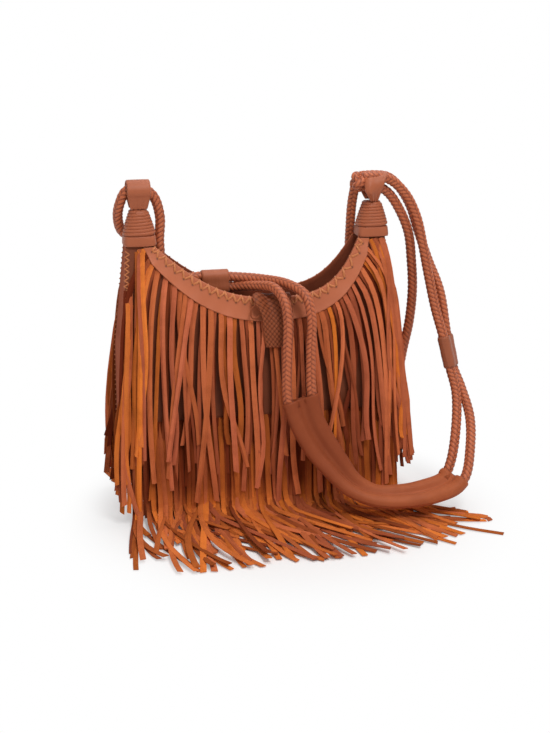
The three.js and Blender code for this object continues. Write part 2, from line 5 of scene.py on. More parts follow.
import bmesh
import bpy
import numpy as np
from bpy.props import FloatProperty, FloatVectorProperty, IntProperty, PointerProperty
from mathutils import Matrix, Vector


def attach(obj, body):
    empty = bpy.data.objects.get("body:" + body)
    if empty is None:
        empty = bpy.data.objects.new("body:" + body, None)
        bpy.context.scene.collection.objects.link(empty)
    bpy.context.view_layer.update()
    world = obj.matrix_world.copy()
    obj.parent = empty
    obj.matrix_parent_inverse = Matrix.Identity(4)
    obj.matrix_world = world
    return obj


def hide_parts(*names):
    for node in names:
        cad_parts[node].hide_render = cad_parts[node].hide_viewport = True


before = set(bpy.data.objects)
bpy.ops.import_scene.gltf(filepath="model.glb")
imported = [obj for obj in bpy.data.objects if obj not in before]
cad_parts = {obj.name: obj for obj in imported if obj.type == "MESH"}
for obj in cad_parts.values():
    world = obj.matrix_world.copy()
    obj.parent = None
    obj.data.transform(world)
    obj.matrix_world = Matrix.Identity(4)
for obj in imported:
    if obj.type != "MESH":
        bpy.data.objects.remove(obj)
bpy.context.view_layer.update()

bl_info = {
    "name": "Fringed suede bag",
    "version": (1, 0, 0),
    "blender": (4, 5, 0),
    "location": "View3D > Sidebar > Bag",
    "description": "Builds a crescent suede bag with laced horns, a braided strap and cut fringe",
    "category": "Add Mesh",
}

MM = 0.001

# Line of the pouch in millimetres, fitted to the photograph
RIM_LOW, HORN_Z, RIM_HALF, RIM_POWER, RIM_SHIFT = 251.0, 312.0, 118.0, 2.9, 22.0
BASE_DEPTH, HORN_DEPTH, DEPTH_POWER = 47.0, 12.0, 2.6
HALF_WIDTH, CORNER, HORN_TOP = 162.0, 70.0, 324.0
HORN_TAPER, CUFF_Z, CUFF_H, WRAP_H = 0.24, 314.0, 11.0, 30.0
HORN_OUTER = HALF_WIDTH - (HALF_WIDTH - RIM_HALF) * HORN_TAPER
HORN_X = (RIM_HALF + HORN_OUTER) / 2 + 0.8
CUFF_A, CUFF_B = (HORN_OUTER - RIM_HALF) / 2 + 2.0, HORN_DEPTH + 3.8
WRAP_A, WRAP_B = 9.9, 9.5
BAND_WIDTH = 25.0
TAB_X, TAB_HALF = 15.5, 17.5
BAND_END = 0.96

# Thickness of the panels, and how far a sheet's edge stands out, as a share of its thickness
WALL, EDGE_ROUND = 2.0, 0.35

# The cords and the braid on them, in millimetres
CORD_D, KNOT_CORD_D, BRAID_PITCH, BRAID_STEP = 11.0, 9.0, 5.4, 1.1

# Where the band and its lacing end, as shares of the rim's half
BAND_TO, LACED_TO = 1.12, 1.11
RIM_STITCHES, SEAM_STITCHES, STITCH_PLACES, STITCH_DROP = 27, 40, 14, 7.6
SEAM_TOP, SEAM_LOW = 309.0, 56.0

# Rings about a horn, and the cuff's profile as shares of its half width and of its height
RING_ANGLE = np.linspace(0, 2 * np.pi, 72, endpoint=False)
CUFF_PROFILE = [(0.90, 0.5), (0.93, 0.12), (0.955, 0.02), (0.975, 0.0), (0.99, 0.07), (1.0, 0.2),
                (0.998, 0.4), (0.985, 0.7), (0.97, 0.9), (0.95, 0.99), (0.92, 1.0), (0.3, 1.0)]
LACE_TURNS, WRAP_POWER, LOOP_HEIGHT = 7.6, 2.6, 32.5

# The fringe in millimetres: the lower tier's half width, its top, the bend of a strip at the floor,
# how far left and right its strips may reach, and how low they may lie
LAYERS = 3
TIER_HALF, TIER_TOP, FLOOR_BEND = 158.0, 117.0, 30.0
TIER_LEFT, TIER_RIGHT, LOWEST_STRIP = 171, 244, 2.0

SUEDE_ROUGHNESS = 0.9
LACE_COLOUR = (0.55, 0.178, 0.058)

# The braided cord's route, in metres
HORN_STRETCH_OUT = [
    (.125, -.0062, .382), (.143, -.0066, .3823), (.160, -.005, .377), (.178, -.005, .360),
    (.191, -.007, .334), (.198, -.012, .302), (.204, -.019, .266), (.210, -.030, .228),
]
KEEPER_OUT = [(.2165, -.0425, .196), (.2235, -.0505, .160)]
RISE_OUT = [(.2275, -.063, .133), (.220, -.086, .095), (.208, -.103, .059)]
PAD_OUT = [
    (.197, -.109, .0435), (.176, -.106, .037), (.150, -.103, .0335), (.124, -.099, .0325),
    (.100, -.093, .0465), (.078, -.087, .084), (.058, -.081, .116), (.048, -.076, .145),
]
MOUTH_STRETCH = [
    (.048, -.070, .197), (.050, -.065, .232), (.046, -.055, .257), (.031, -.035, .2668),
    (.005, -.009, .2690), (-.027, .004, .2705), (-.064, .005, .2725), (-.090, .001, .2735),
    (-.108, 0, .289), (-.1115, .002, .314), (-.110, .004, .345), (-.118, .0015, .369), (-.135, 0, .379),
    (-.148, .0005, .374), (-.1545, .0035, .361), (-.1565, .012, .344), (-.151, .021, .326),
    (-.135, .025, .316), (-.119, .0235, .306), (-.103, .018, .279), (-.082, .008, .261),
    (-.061, .005, .2588), (-.028, .005, .2588), (-.004, -.014, .2628), (.013, -.038, .2645),
    (.021, -.055, .252), (.023, -.064, .230), (.021, -.070, .197),
]
PAD_BACK = [
    (.020, -.077, .142), (.027, -.083, .112), (.042, -.091, .080), (.064, -.104, .054),
    (.090, -.118, .034), (.122, -.128, .027), (.155, -.129, .026), (.184, -.131, .031),
    (.204, -.132, .040),
]
RISE_BACK = [(.218, -.127, .051), (.231, -.106, .079), (.239, -.080, .108), (.2355, -.056, .138)]
KEEPER_BACK = [(.2305, -.0395, .160), (.2245, -.032, .196)]
HORN_STRETCH_BACK = [
    (.219, -.018, .246), (.209, .002, .283), (.200, .013, .315), (.190, .016, .345),
    (.173, .012, .369), (.158, .0075, .380), (.143, .0066, .3823), (.125, .0062, .382),
]
TAIL_BACK = [
    (.1185, .004, .371), (.1175, .0125, .348), (.119, .024, .312), (.121, .034, .287),
    (.122, .046, .256), (.124, .056, .224), (.125, .062, .190), (.126, .067, .148),
]
TAIL_SIDE = [
    (.125, 0, .3706), (.143, 0, .3706), (.157, .0005, .363), (.170, .001, .346),
    (.184, .002, .316), (.190, .004, .280), (.193, .006, .243), (.191, .009, .203),
    (.185, .013, .165), (.180, .015, .125), (.178, .015, .096),
]


class BagSizes(bpy.types.PropertyGroup):
    """Sizes of the bag that a user may change."""

    strip_width: FloatProperty(
        name="Strip width", description="Width of one fringe strip",
        default=0.0058, unit="LENGTH")
    strip_thickness: FloatProperty(
        name="Strip thickness", description="Thickness of the fringe leather",
        default=0.0014, unit="LENGTH")
    upper_strips: IntProperty(
        name="Upper strips", description="Strips in one upper tier", default=141)
    lower_strips: IntProperty(
        name="Lower strips", description="Strips in one lower tier", default=174)
    braid_relief: FloatProperty(
        name="Braid relief", description="Height of the laces in the braid",
        default=0.0012, unit="LENGTH")
    lace_width: FloatProperty(
        name="Lace width", description="Width of the lacing thong",
        default=0.0027, unit="LENGTH")


class BagColours(bpy.types.PropertyGroup):
    """Colours of the bag's leathers."""

    suede: FloatVectorProperty(
        name="Suede", description="Napped leather", subtype="COLOR", size=3,
        default=(0.58, 0.146, 0.068))
    suede_light: FloatVectorProperty(
        name="Light suede", description="Flesh side of the strips", subtype="COLOR", size=3,
        default=(0.86, 0.225, 0.030))
    smooth: FloatVectorProperty(
        name="Smooth leather", description="Grain side", subtype="COLOR", size=3,
        default=(0.47, 0.122, 0.045))
    braid: FloatVectorProperty(
        name="Braid", description="Laces of the strap", subtype="COLOR", size=3,
        default=(0.52, 0.130, 0.046))
    # The dark colour is painted shade where the lace goes through the band, in the braid's gaps and the
    # tab's weave, along the pad, over the front panel and on the deeper and hanging strips; it is also
    # the darker tone of the suede's brushed patches and the grain's colour clouds
    dark: FloatVectorProperty(
        name="Grooves", description="Hollows and seams", subtype="COLOR", size=3,
        default=(0.12, 0.015, 0.004))


# Numbers and shapes

def mix(a, b, t):
    """From a to b by a share t."""
    return a + (b - a) * t


def half_depth(z):
    """Half of the pouch's depth in millimetres: it falls from the base to the horn by a power."""
    return BASE_DEPTH - (BASE_DEPTH - HORN_DEPTH) * np.clip(z / HORN_Z, 0, None) ** DEPTH_POWER


def rim_z(x):
    """Height of the rim in millimetres: a valley that steepens towards the horns, its lowest place
    moved to the right by a shift that dies away as the square of the way out."""
    out = np.clip(x / RIM_HALF, -1, 1)
    away = np.abs(out - RIM_SHIFT / RIM_HALF * (1 - out ** 2))
    return RIM_LOW + (HORN_Z - RIM_LOW) * held(away) ** RIM_POWER


def drawn_in(x, z):
    """The sides draw in towards the horns."""
    over = np.clip(np.abs(x) - RIM_HALF, 0, None)
    share = held((z - 190) / (HORN_Z - 190))
    return np.sign(x) * (np.abs(x) - over * HORN_TAPER * share)


def below_rim(s, down):
    """A point that lies down millimetres below the rim, square to it; past the ends it runs on."""
    reach = RIM_HALF * BAND_END
    x = np.clip(s, -1, 1) * reach
    slope = (rim_z(x + 0.01) - rim_z(x - 0.01)) / 0.02
    n = np.hypot(1, slope)
    beyond = np.where(np.abs(s) > 1, np.sign(s) * (np.abs(s) - 1), 0) * reach
    return x + slope / n * down + beyond / n, rim_z(x) - down / n + beyond * slope / n


def on_band(s, down):
    """A point of the rim band: below the rim while s is within 1, and from there to 1.12 it runs
    straight on to a level end just under the cuff."""
    x, z = below_rim(np.clip(s, -1, 1), down)
    t = held((np.abs(s) - 1) / 0.12)
    end = np.sign(s) * (RIM_HALF + 0.8 + down * 0.85)
    return mix(x, end, t), mix(z, HORN_Z + 0.5, t)


def band_width(s):
    """The rim band is widest at the middle and about three fifths of that at the horns."""
    return BAND_WIDTH * (1 - 0.4 * held(np.abs(s) / 1.05) ** 2)


def spline(points, count):
    """Centripetal Catmull-Rom through points, sampled at count even steps along its length."""
    p = np.asarray(points, float)
    p = np.vstack([2 * p[0] - p[1], p, 2 * p[-1] - p[-2]])
    knots = np.concatenate([[0], np.cumsum(np.linalg.norm(np.diff(p, axis=0), axis=1) ** 0.5)])
    seg = np.repeat(np.arange(1, len(p) - 2), 24)
    u = np.tile(np.linspace(0, 1, 24, endpoint=False), len(p) - 3)
    seg, u = np.append(seg, len(p) - 3), np.append(u, 1.0)
    t0, t1, t2, t3 = (knots[seg + k] for k in (-1, 0, 1, 2))
    t = mix(t1, t2, u)

    def blend(a, b, ta, tb):
        return ((tb - t) / (tb - ta))[:, None] * a + ((t - ta) / (tb - ta))[:, None] * b

    p0, p1, p2, p3 = (p[seg + k] for k in (-1, 0, 1, 2))
    a1, a2, a3 = blend(p0, p1, t0, t1), blend(p1, p2, t1, t2), blend(p2, p3, t2, t3)
    curve = blend(blend(a1, a2, t0, t2), blend(a2, a3, t1, t3), t1, t2)
    along = lengths_along(curve)
    at = np.linspace(0, along[-1], count)
    return np.stack([np.interp(at, along, curve[:, k]) for k in range(3)], 1)


def drawn_together(a, b, share, count):
    """Two routes side by side, each moved towards their middle line by a share that is greatest
    halfway along."""
    a, b = spline(a, count), spline(b, count)
    near = share * np.sin(np.linspace(0, np.pi, count))[:, None] ** 0.6
    middle = (a + b) / 2
    return [tuple(map(tuple, mix(side, middle, near))) for side in (a, b)]


def held(x):
    """A share held within 0 and 1."""
    return np.clip(x, 0, 1)


def xyz(x, y, z):
    """Places from three coordinates, each a number or an array."""
    return np.stack(np.broadcast_arrays(x, y, z), -1)


def unit(v):
    """Each vector divided by its length."""
    return v / np.maximum(np.linalg.norm(v, axis=-1, keepdims=True), 1e-12)


def lengths_along(path):
    """The length of a path up to each of its places."""
    return np.concatenate([[0], np.cumsum(np.linalg.norm(np.diff(path, axis=0), axis=1))])


PAD_ONE, PAD_TWO = drawn_together(PAD_OUT, PAD_BACK[::-1], 0.34, 9)
STRAP = [*HORN_STRETCH_OUT, *KEEPER_OUT, *RISE_OUT, *PAD_ONE, *MOUTH_STRETCH, *PAD_TWO[::-1],
         *RISE_BACK, *KEEPER_BACK, *HORN_STRETCH_BACK]


def frames(path, coarse=600):
    """Two normals along a path: they are carried without twist over a few hundred stations and
    then read off for every ring."""
    n = len(path)
    pick = np.linspace(0, n - 1, min(n, coarse)).round().astype(int)
    tangent = unit(np.gradient(path, axis=0))
    t = tangent[pick]
    side = np.zeros_like(t)
    side[0] = unit(np.cross(t[0], (0.3, 0.2, 1.0)))
    for i in range(1, len(t)):
        side[i] = unit(side[i - 1] - t[i] * (side[i - 1] @ t[i]))
    full = np.stack([np.interp(np.arange(n), pick, side[:, k]) for k in range(3)], 1)
    full = unit(full - tangent * np.sum(full * tangent, 1, keepdims=True))
    return full, np.cross(tangent, full)


def outward_axes(line, out):
    """Axes of a flat lace along a line: out squared to the line, and across square to both."""
    tangent = unit(np.gradient(line, axis=0))
    outward = unit(out - tangent * np.sum(out * tangent, 1, keepdims=True))
    return np.cross(tangent, outward), outward


def put_mesh(name, verts, quads, uv=None, values=None, tris=None, smooth=True):
    """A mesh object of whole arrays: places, faces, a UV for each place, and named values."""
    verts = np.asarray(verts, float).reshape(-1, 3)
    quads = np.asarray(quads, int).reshape(-1, 4)
    tris = np.zeros((0, 3), int) if tris is None else np.asarray(tris, int).reshape(-1, 3)
    mesh = bpy.data.meshes.new(name)
    loops = np.concatenate([quads.ravel(), tris.ravel()]).astype(np.int32)
    starts = np.concatenate([np.arange(len(quads)) * 4, len(quads) * 4 + np.arange(len(tris)) * 3])
    mesh.vertices.add(len(verts))
    mesh.vertices.foreach_set("co", verts.astype(np.float32).ravel())
    mesh.loops.add(len(loops))
    mesh.loops.foreach_set("vertex_index", loops)
    mesh.polygons.add(len(starts))
    mesh.polygons.foreach_set("loop_start", starts.astype(np.int32))
    mesh.polygons.foreach_set("use_smooth", np.full(len(starts), smooth))
    mesh.update(calc_edges=True)
    if uv is not None:
        layer = mesh.uv_layers.new(name="UVMap")
        layer.data.foreach_set("uv", np.asarray(uv, np.float32).reshape(-1, 2)[loops].ravel())
    for key, array in (values or {}).items():
        mesh.attributes.new(key, "FLOAT", "POINT").data.foreach_set(
            "value", np.asarray(array, np.float32).ravel())
    mesh.validate()
    obj = bpy.data.objects.new(name, mesh)
    bpy.context.scene.collection.objects.link(obj)
    return obj


def grid_faces(nu, nv, wrap=False, start=0):
    """The quads of an nu by nv grid of places, closed round the second way if wrap is set."""
    i, j = np.meshgrid(np.arange(nu - 1), np.arange(nv if wrap else nv - 1), indexing="ij")
    k = (j + 1) % nv
    return start + np.stack([i * nv + j, (i + 1) * nv + j, (i + 1) * nv + k, i * nv + k],
                            -1).reshape(-1, 4)


def turned_out(obj):
    """Recalculates the normals of a closed, merged mesh so that they point outwards."""
    bm = bmesh.new()
    bm.from_mesh(obj.data)
    bmesh.ops.remove_doubles(bm, verts=bm.verts, dist=1e-7)
    bmesh.ops.recalc_face_normals(bm, faces=bm.faces)
    bm.to_mesh(obj.data)
    bm.free()
    return obj


def slab(name, outer, inner, painted_shade=None):
    """A sheet with a body: an outer and an inner grid in millimetres, joined by a rounded edge
    ring that stands out from their rims by about a third of the thickness. UV runs 0 to 1 over
    both grids. The painted shade that it may be given, one value for each place of the outer
    grid, says how far its material darkens that place."""
    nu, nv = outer.shape[:2]
    n = nu * nv
    i = np.arange(n).reshape(nu, nv)
    rim = np.concatenate([i[:-1, 0], i[-1, :-1], i[1:, -1][::-1], i[0, 1:][::-1]])
    inward = np.concatenate([i[:-1, 1], i[-2, :-1], i[1:, -2][::-1], i[1, 1:][::-1]])
    a, b = outer.reshape(-1, 3), inner.reshape(-1, 3)
    thick = np.linalg.norm(a[rim] - b[rim], axis=1, keepdims=True)
    ring = (a[rim] + b[rim]) / 2 + unit(a[rim] - a[inward]) * thick * EDGE_ROUND
    edge, following = 2 * n + np.arange(len(rim)), np.roll(rim, -1)
    edge_after = np.roll(edge, -1)
    faces = np.vstack([
        grid_faces(nu, nv), grid_faces(nu, nv, start=n)[:, ::-1],
        np.stack([rim, edge, edge_after, following], 1),
        np.stack([edge, rim + n, following + n, edge_after], 1)])
    uv = np.stack(np.meshgrid(np.linspace(0, 1, nu), np.linspace(0, 1, nv), indexing="ij"), -1)
    uv = uv.reshape(-1, 2)
    values = {}
    if painted_shade is not None:
        painted_shade = painted_shade.reshape(-1)
        values["painted_shade"] = np.concatenate([painted_shade, painted_shade * 0, painted_shade[rim] * 0])
    return turned_out(put_mesh(name, np.vstack([a, b, ring]) * MM, faces,
                               np.vstack([uv, uv, uv[rim]]), values))


def tube(name, grid, ends=None, values=None, uv=None, closed=False):
    """Rings of places joined into one skin: round into itself if it is closed, or else with a fan
    of triangles at each end, about the ends or else about the middles of the end rings."""
    n, m = grid.shape[:2]
    first = np.arange(m)
    last = first + (n - 1) * m
    faces, verts, tris = grid_faces(n, m, wrap=True), grid.reshape(-1, 3), None
    if closed:
        joint = np.stack([last, first, np.roll(first, -1), np.roll(last, -1)], 1)
        faces = np.vstack([faces, joint])
    else:
        verts = np.vstack([verts, grid[[0, -1]].mean(1) if ends is None else ends])
        tris = np.vstack([np.stack([np.full(m, n * m), first, np.roll(first, -1)], 1),
                          np.stack([np.full(m, n * m + 1), np.roll(last, -1), last], 1)])
    return turned_out(put_mesh(name, verts, faces, uv, values, tris))


def swept(name, path, side, out, half_width, half_thick, sides=8, closed=False):
    """A lace: an oval section, half_width by half_thick, carried along a path on its own axes."""
    a = np.linspace(0, 2 * np.pi, sides, endpoint=False)[:, None]
    ring = side[:, None] * np.cos(a) * half_width + out[:, None] * np.sin(a) * half_thick
    along = lengths_along(path) * 100
    around = np.tile(np.linspace(0, 1, sides, endpoint=False), len(path))
    uv = np.stack([np.repeat(along, sides), around], 1)
    if not closed:
        uv = np.vstack([uv, [[0, 0], [along[-1], 0]]])
    return tube(name, path[:, None] + ring, path[[0, -1]], None, uv, closed)


def rides(obj, material, slot, *nodes):
    """Dresses an object in its material, and says what it rides on and which nodes it replaces."""
    obj.data.materials.append(material)
    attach(obj, "root")
    if nodes:
        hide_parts(*nodes)
    return obj


# Shader groups and materials

def wire(tree, made, inputs):
    """Feeds the inputs of a node: a socket is linked, a word is read as a value of the mesh, and
    anything else is set."""
    for key, value in inputs.items():
        if isinstance(value, str):
            value = node(tree, "Attribute", attribute_name=value).outputs["Fac"]
        if isinstance(value, bpy.types.NodeSocket):
            tree.links.new(value, made.inputs[key])
        else:
            made.inputs[key].default_value = value
    return made


def shared_group(name, inputs, build):
    """The node group of a name, built once. Its inputs are first values by label, and build takes
    the tree and the input sockets and gives the result sockets by label."""
    if name in bpy.data.node_groups:
        return bpy.data.node_groups[name]
    group = bpy.data.node_groups.new(name, "ShaderNodeTree")

    def socket(label, way):
        kind = "Color" if label in ("Colour", "Light", "Dark") else "Float"
        return group.interface.new_socket(name=label, in_out=way, socket_type="NodeSocket" + kind)

    for label, value in inputs.items():
        socket(label, "INPUT").default_value = value
    results = build(group, group.nodes.new("NodeGroupInput").outputs)
    for label in results:
        socket(label, "OUTPUT")
    wire(group, group.nodes.new("NodeGroupOutput"), results)
    return group


def node(tree, kind, inputs=None, **settings):
    """A shader node with its settings and its inputs."""
    made = tree.nodes.new("ShaderNode" + kind)
    for key, value in settings.items():
        setattr(made, key, value)
    return wire(tree, made, inputs or {})


def maths(tree, operation, *terms):
    """The result of a sum, product or comparison of its terms."""
    return node(tree, "Math", dict(enumerate(terms)), operation=operation).outputs[0]


def mapped(tree, value, low, high, to_low=0.0, to_high=1.0, **settings):
    """A value stretched from the range low to high onto the range to_low to to_high."""
    ranges = {"Value": value, "From Min": low, "From Max": high,
              "To Min": to_low, "To Max": to_high}
    return node(tree, "MapRange", ranges, **settings).outputs[0]


def blend(tree, share, a, b, **settings):
    """A colour between a and b by a share."""
    return node(tree, "Mix", {0: share, 6: a, 7: b}, data_type="RGBA", **settings).outputs[2]


def leather_grain():
    """Pebbled grain, pores and slow colour clouds: two noises and a cell pattern of the place."""
    def build(g, given):
        place = node(g, "TexCoord").outputs["Object"]
        cells = node(g, "TexVoronoi", {"Vector": place, "Scale": given["Grain Scale"],
                                       "Smoothness": 0.6}, feature="SMOOTH_F1")
        fine = node(g, "TexNoise", {"Vector": place, "Scale": 1600.0, "Detail": 3.0})
        cloud = node(g, "TexNoise", {"Vector": place, "Scale": 28.0, "Detail": 4.0,
                                     "Roughness": 0.6})
        pore = fine.outputs["Fac"]
        grain = maths(g, "MULTIPLY", cells.outputs["Distance"], given["Grain Height"])
        clouded = mapped(g, cloud.outputs["Fac"], 0.32, 0.72)
        share = maths(g, "MULTIPLY", clouded, given["Cloud"])
        return {"Colour": blend(g, share, given["Colour"], given["Dark"]),
                "Height": maths(g, "MULTIPLY_ADD", pore, 0.12, grain),
                "Rough": mapped(g, pore, 0.0, 1.0, 0.42, 0.62)}

    return shared_group("leather_grain", {
        "Colour": (0.4, 0.13, 0.05, 1), "Dark": (0.12, 0.03, 0.01, 1), "Grain Scale": 900.0,
        "Grain Height": 0.25, "Cloud": 0.35}, build)


def suede_nap():
    """The nap of suede: brushed patches of lighter and darker pile over a fine fibre noise."""
    def build(g, given):
        place = node(g, "TexCoord").outputs["Object"]
        patch = node(g, "TexNoise", {"Vector": place, "Scale": given["Patch Scale"],
                                     "Detail": 5.0, "Roughness": 0.65})
        fibre = node(g, "TexNoise", {"Vector": place, "Scale": 2600.0, "Detail": 2.0})
        hair = fibre.outputs["Fac"]
        tinted = blend(g, given["Tint"], given["Colour"], given["Light"])
        brushed = mapped(g, patch.outputs["Fac"], 0.45, 0.8, to_high=0.4)
        shade = blend(g, brushed, tinted, given["Dark"])
        bright = mapped(g, hair, 0.3, 0.7, 0.6, 1.25)
        return {"Colour": blend(g, 0.35, shade, bright, blend_type="MULTIPLY"), "Height": hair}

    return shared_group("suede_nap", {
        "Colour": (0.4, 0.13, 0.05, 1), "Light": (0.6, 0.2, 0.05, 1),
        "Dark": (0.12, 0.03, 0.01, 1), "Tint": 0.0, "Patch Scale": 60.0}, build)


def rgba(colour):
    """A colour with full cover."""
    return (*colour, 1.0)


def leather(name, group, inputs, specular, sheen, relief, over=None):
    """A material of one shared group. relief is the strength and depth of its bump, and over, if
    given, takes the tree and the group's colour and gives the colour that is drawn."""
    if name in bpy.data.materials:
        return bpy.data.materials[name]
    material = bpy.data.materials.new(name)
    material.use_nodes = True
    tree = material.node_tree
    made = node(tree, "Group", node_tree=group)
    wire(tree, made, inputs)
    colour = made.outputs["Colour"]
    bump = node(tree, "Bump", {"Strength": relief[0], "Distance": relief[1],
                               "Height": made.outputs["Height"]})
    wire(tree, tree.nodes["Principled BSDF"], {
        "Base Color": over(tree, colour) if over else colour,
        "Roughness": made.outputs["Rough"] if "Rough" in made.outputs else SUEDE_ROUGHNESS,
        "Sheen Weight": sheen, "Sheen Roughness": 0.5, "Specular IOR Level": specular,
        "Normal": bump.outputs[0]})
    return material


def suede_material(name, colours, patch, darker=1.0, tint=0.0, over=None):
    """Suede from its nap group; tint picks the lighter side of it."""
    return leather(name, suede_nap(), {
        "Colour": rgba(c * darker for c in colours.suede), "Light": rgba(colours.suede_light),
        "Dark": rgba(colours.dark), "Patch Scale": patch, "Tint": tint,
    }, 0.08, 0.02, (0.5, 0.0004), over)


def strip_material(name, colours):
    """Fringe suede: a strip's tint picks grain or flesh side, and its shade value darkens it with
    painted shade for its layer and how it hangs, plus a random tone of its own.
    """
    return suede_material(name, colours, 35.0, tint="tint", over=lambda tree, colour: blend(
        tree, "shade", colour, rgba(colours.dark)))


def lace_material(name, colours):
    """Thong leather: a little lighter than the band that it holds."""
    return smooth_material(name, colours, top=LACE_COLOUR)


def smooth_material(name, colours, cloud=0.22, takes_painted_shade=False, darker=1.0, gloss=0.35, deep=0.35,
                    top=None):
    """Soft grain leather with a low sheen of its own. When asked to, it reads the mesh's painted
    shade value and darkens by it towards a deep shade colour, and top may stand in for its main
    colour."""
    base = [c * darker for c in colours.smooth]
    # The colour of the painted shade: the dark colour scaled by deep
    painted_shade_colour = rgba(c * deep for c in colours.dark)
    return leather(name, leather_grain(), {
        "Colour": rgba(top or base),
        "Dark": rgba(mix(a, b, 0.55) for a, b in zip(base, colours.dark)),
        "Grain Scale": 800.0, "Grain Height": 0.25, "Cloud": cloud,
    }, gloss, 0.1 if gloss > 0.2 else 0.02, (0.55, 0.0005),
        (lambda tree, colour: blend(tree, "painted_shade", colour, painted_shade_colour)) if takes_painted_shade else None)


def braid_material(name, colours):
    """Narrow laces: the relief value darkens the gaps between them with painted shade."""
    def over(tree, colour):
        return blend(tree, mapped(tree, "relief", 0.25, 0.85), rgba(colours.dark), colour)

    return leather(name, leather_grain(), {
        "Colour": rgba(colours.braid),
        "Dark": rgba(mix(a, b, 0.5) for a, b in zip(colours.braid, colours.dark)),
        "Cloud": 0.3,
    }, 0.35, 0.1, (0.4, 0.0004), over)


def aimed(scene, name, data, place, target):
    """An object at a place that looks at a target."""
    made = bpy.data.objects.new(name, data)
    made.location = place
    made.rotation_euler = (Vector(target) - Vector(place)).to_track_quat("-Z", "Y").to_euler()
    scene.collection.objects.link(made)
    return made


def direct_rays(tree):
    """1 for rays of the camera, of gloss and of glass, and 0 for the rays that carry light."""
    rays = node(tree, "LightPath").outputs
    seen = maths(tree, "MAXIMUM", rays["Is Camera Ray"], rays["Is Glossy Ray"])
    return maths(tree, "MAXIMUM", seen, rays["Is Transmission Ray"])


# Camera and light

CAMERA_AZIMUTH, CAMERA_HEIGHT, CAMERA_DISTANCE = -13.0, 0.6, 1.5
CAMERA_AIM = (0.0225, 0.0, 0.1601)
FOCAL_PIXELS, FRAME_WIDTH, SENSOR = 1317.8, 550, 36.0
FLOOR_HALF = 6.0

# Name, place, size and watts of each lamp
LAMPS = (
    ("key_light", (0.25, -1.35, 2.0), 0.7, 25),
    ("fill_light", (-1.5, -1.2, 0.9), 1.3, 4),
    ("top_light", (0.4, 0.3, 2.0), 1.0, 11),
)


class BAG_OT_stage(bpy.types.Operator):
    """Camera at the photograph's angle, pale floor and soft light"""

    bl_idname = "bag.stage"
    bl_label = "Stage"

    def execute(self, context):
        scene = context.scene
        a = math.radians(CAMERA_AZIMUTH)
        eye = (CAMERA_AIM[0] + CAMERA_DISTANCE * math.sin(a), -CAMERA_DISTANCE * math.cos(a),
               CAMERA_HEIGHT)
        data = bpy.data.cameras.new("camera")
        data.sensor_fit = "HORIZONTAL"
        data.sensor_width = SENSOR
        data.lens = FOCAL_PIXELS / FRAME_WIDTH * SENSOR
        scene.camera = aimed(scene, "camera", data, eye, CAMERA_AIM)
        scene.view_settings.view_transform = "Standard"
        self.studio(scene)
        for name, place, size, watts in LAMPS:
            light = bpy.data.lights.new(name, "AREA")
            light.shape, light.size, light.energy = "DISK", size, watts
            aimed(scene, name, light, place, (0, 0, 0.15))
        self.floor()
        return {"FINISHED"}

    def studio(self, scene):
        """Light comes from a dim sky, but direct rays see a white background."""
        scene.world = bpy.data.worlds.new("studio")
        scene.world.use_nodes = True
        tree = scene.world.node_tree
        sky = wire(tree, tree.nodes["Background"], {"Color": (1.0, 0.99, 0.98, 1),
                                                    "Strength": 0.34})
        white = node(tree, "Background", {"Color": (1, 1, 1, 1)})
        pick = node(tree, "MixShader", {0: direct_rays(tree), 1: sky.outputs[0],
                                        2: white.outputs[0]})
        wire(tree, tree.nodes["World Output"], {"Surface": pick.outputs[0]})

    def floor(self):
        """A pale floor. Past the bag's shadow, direct rays see it as the white background."""
        h = FLOOR_HALF
        floor = put_mesh("floor", [(-h, -h, 0), (h, -h, 0), (h, h, 0), (-h, h, 0)], [[0, 1, 2, 3]])
        material = bpy.data.materials.new("pale_floor")
        material.use_nodes = True
        tree = material.node_tree
        shader = wire(tree, tree.nodes["Principled BSDF"], {
            "Base Color": (0.93, 0.93, 0.93, 1), "Roughness": 0.9, "Specular IOR Level": 0.1})
        centred = node(tree, "VectorMath", {0: node(tree, "TexCoord").outputs["Object"],
                                            1: (-0.03, 0.06, 0)}, operation="ADD")
        reach = node(tree, "VectorMath", {0: centred.outputs[0]}, operation="LENGTH")
        share = mapped(tree, reach.outputs["Value"], 0.12, 0.28, interpolation_type="SMOOTHSTEP")
        pick = node(tree, "MixShader", {
            0: maths(tree, "MULTIPLY", share, direct_rays(tree)), 1: shader.outputs[0],
            2: node(tree, "Emission").outputs[0]})
        wire(tree, tree.nodes["Material Output"], {"Surface": pick.outputs[0]})
        floor.data.materials.append(material)


# The strap

def braided_tube(name, path, diameter, relief, closed=False, around=32):
    """A round braid: a tube along a path whose radius carries rounded laces that slant to and fro in
    four legs around it. The phase of a lace is the length plus a zigzag of the angle, half a pitch
    apart from leg to leg, and the height is a power of the phase's sine, lower where legs meet."""
    side, out = frames(path)
    angle = np.linspace(0, 2 * np.pi, around, endpoint=False)
    s, th = np.meshgrid(lengths_along(path) / (BRAID_PITCH * MM), angle / (np.pi / 2),
                        indexing="ij")
    u = 1 - np.abs(th % 2 - 1)
    f = (s + 0.95 * u + 0.5 * (np.floor(th) % 2)) % 1
    seam = np.exp(-(np.minimum(u, 1 - u) / 0.13) ** 2)
    ridge = np.sin(np.pi * f) ** 0.5 * (1 - 0.35 * seam)
    radius = diameter / 2 + relief * (ridge - 0.72)
    ring = side[:, None] * np.cos(angle)[:, None] + out[:, None] * np.sin(angle)[:, None]
    # The ridge's height is kept as the relief value, from which the material paints shade into the gaps
    value = ridge.ravel() if closed else np.append(ridge, [0.3, 0.3])
    return tube(name, path[:, None] + ring * radius[..., None], path[[0, -1]],
                {"relief": value}, closed=closed)


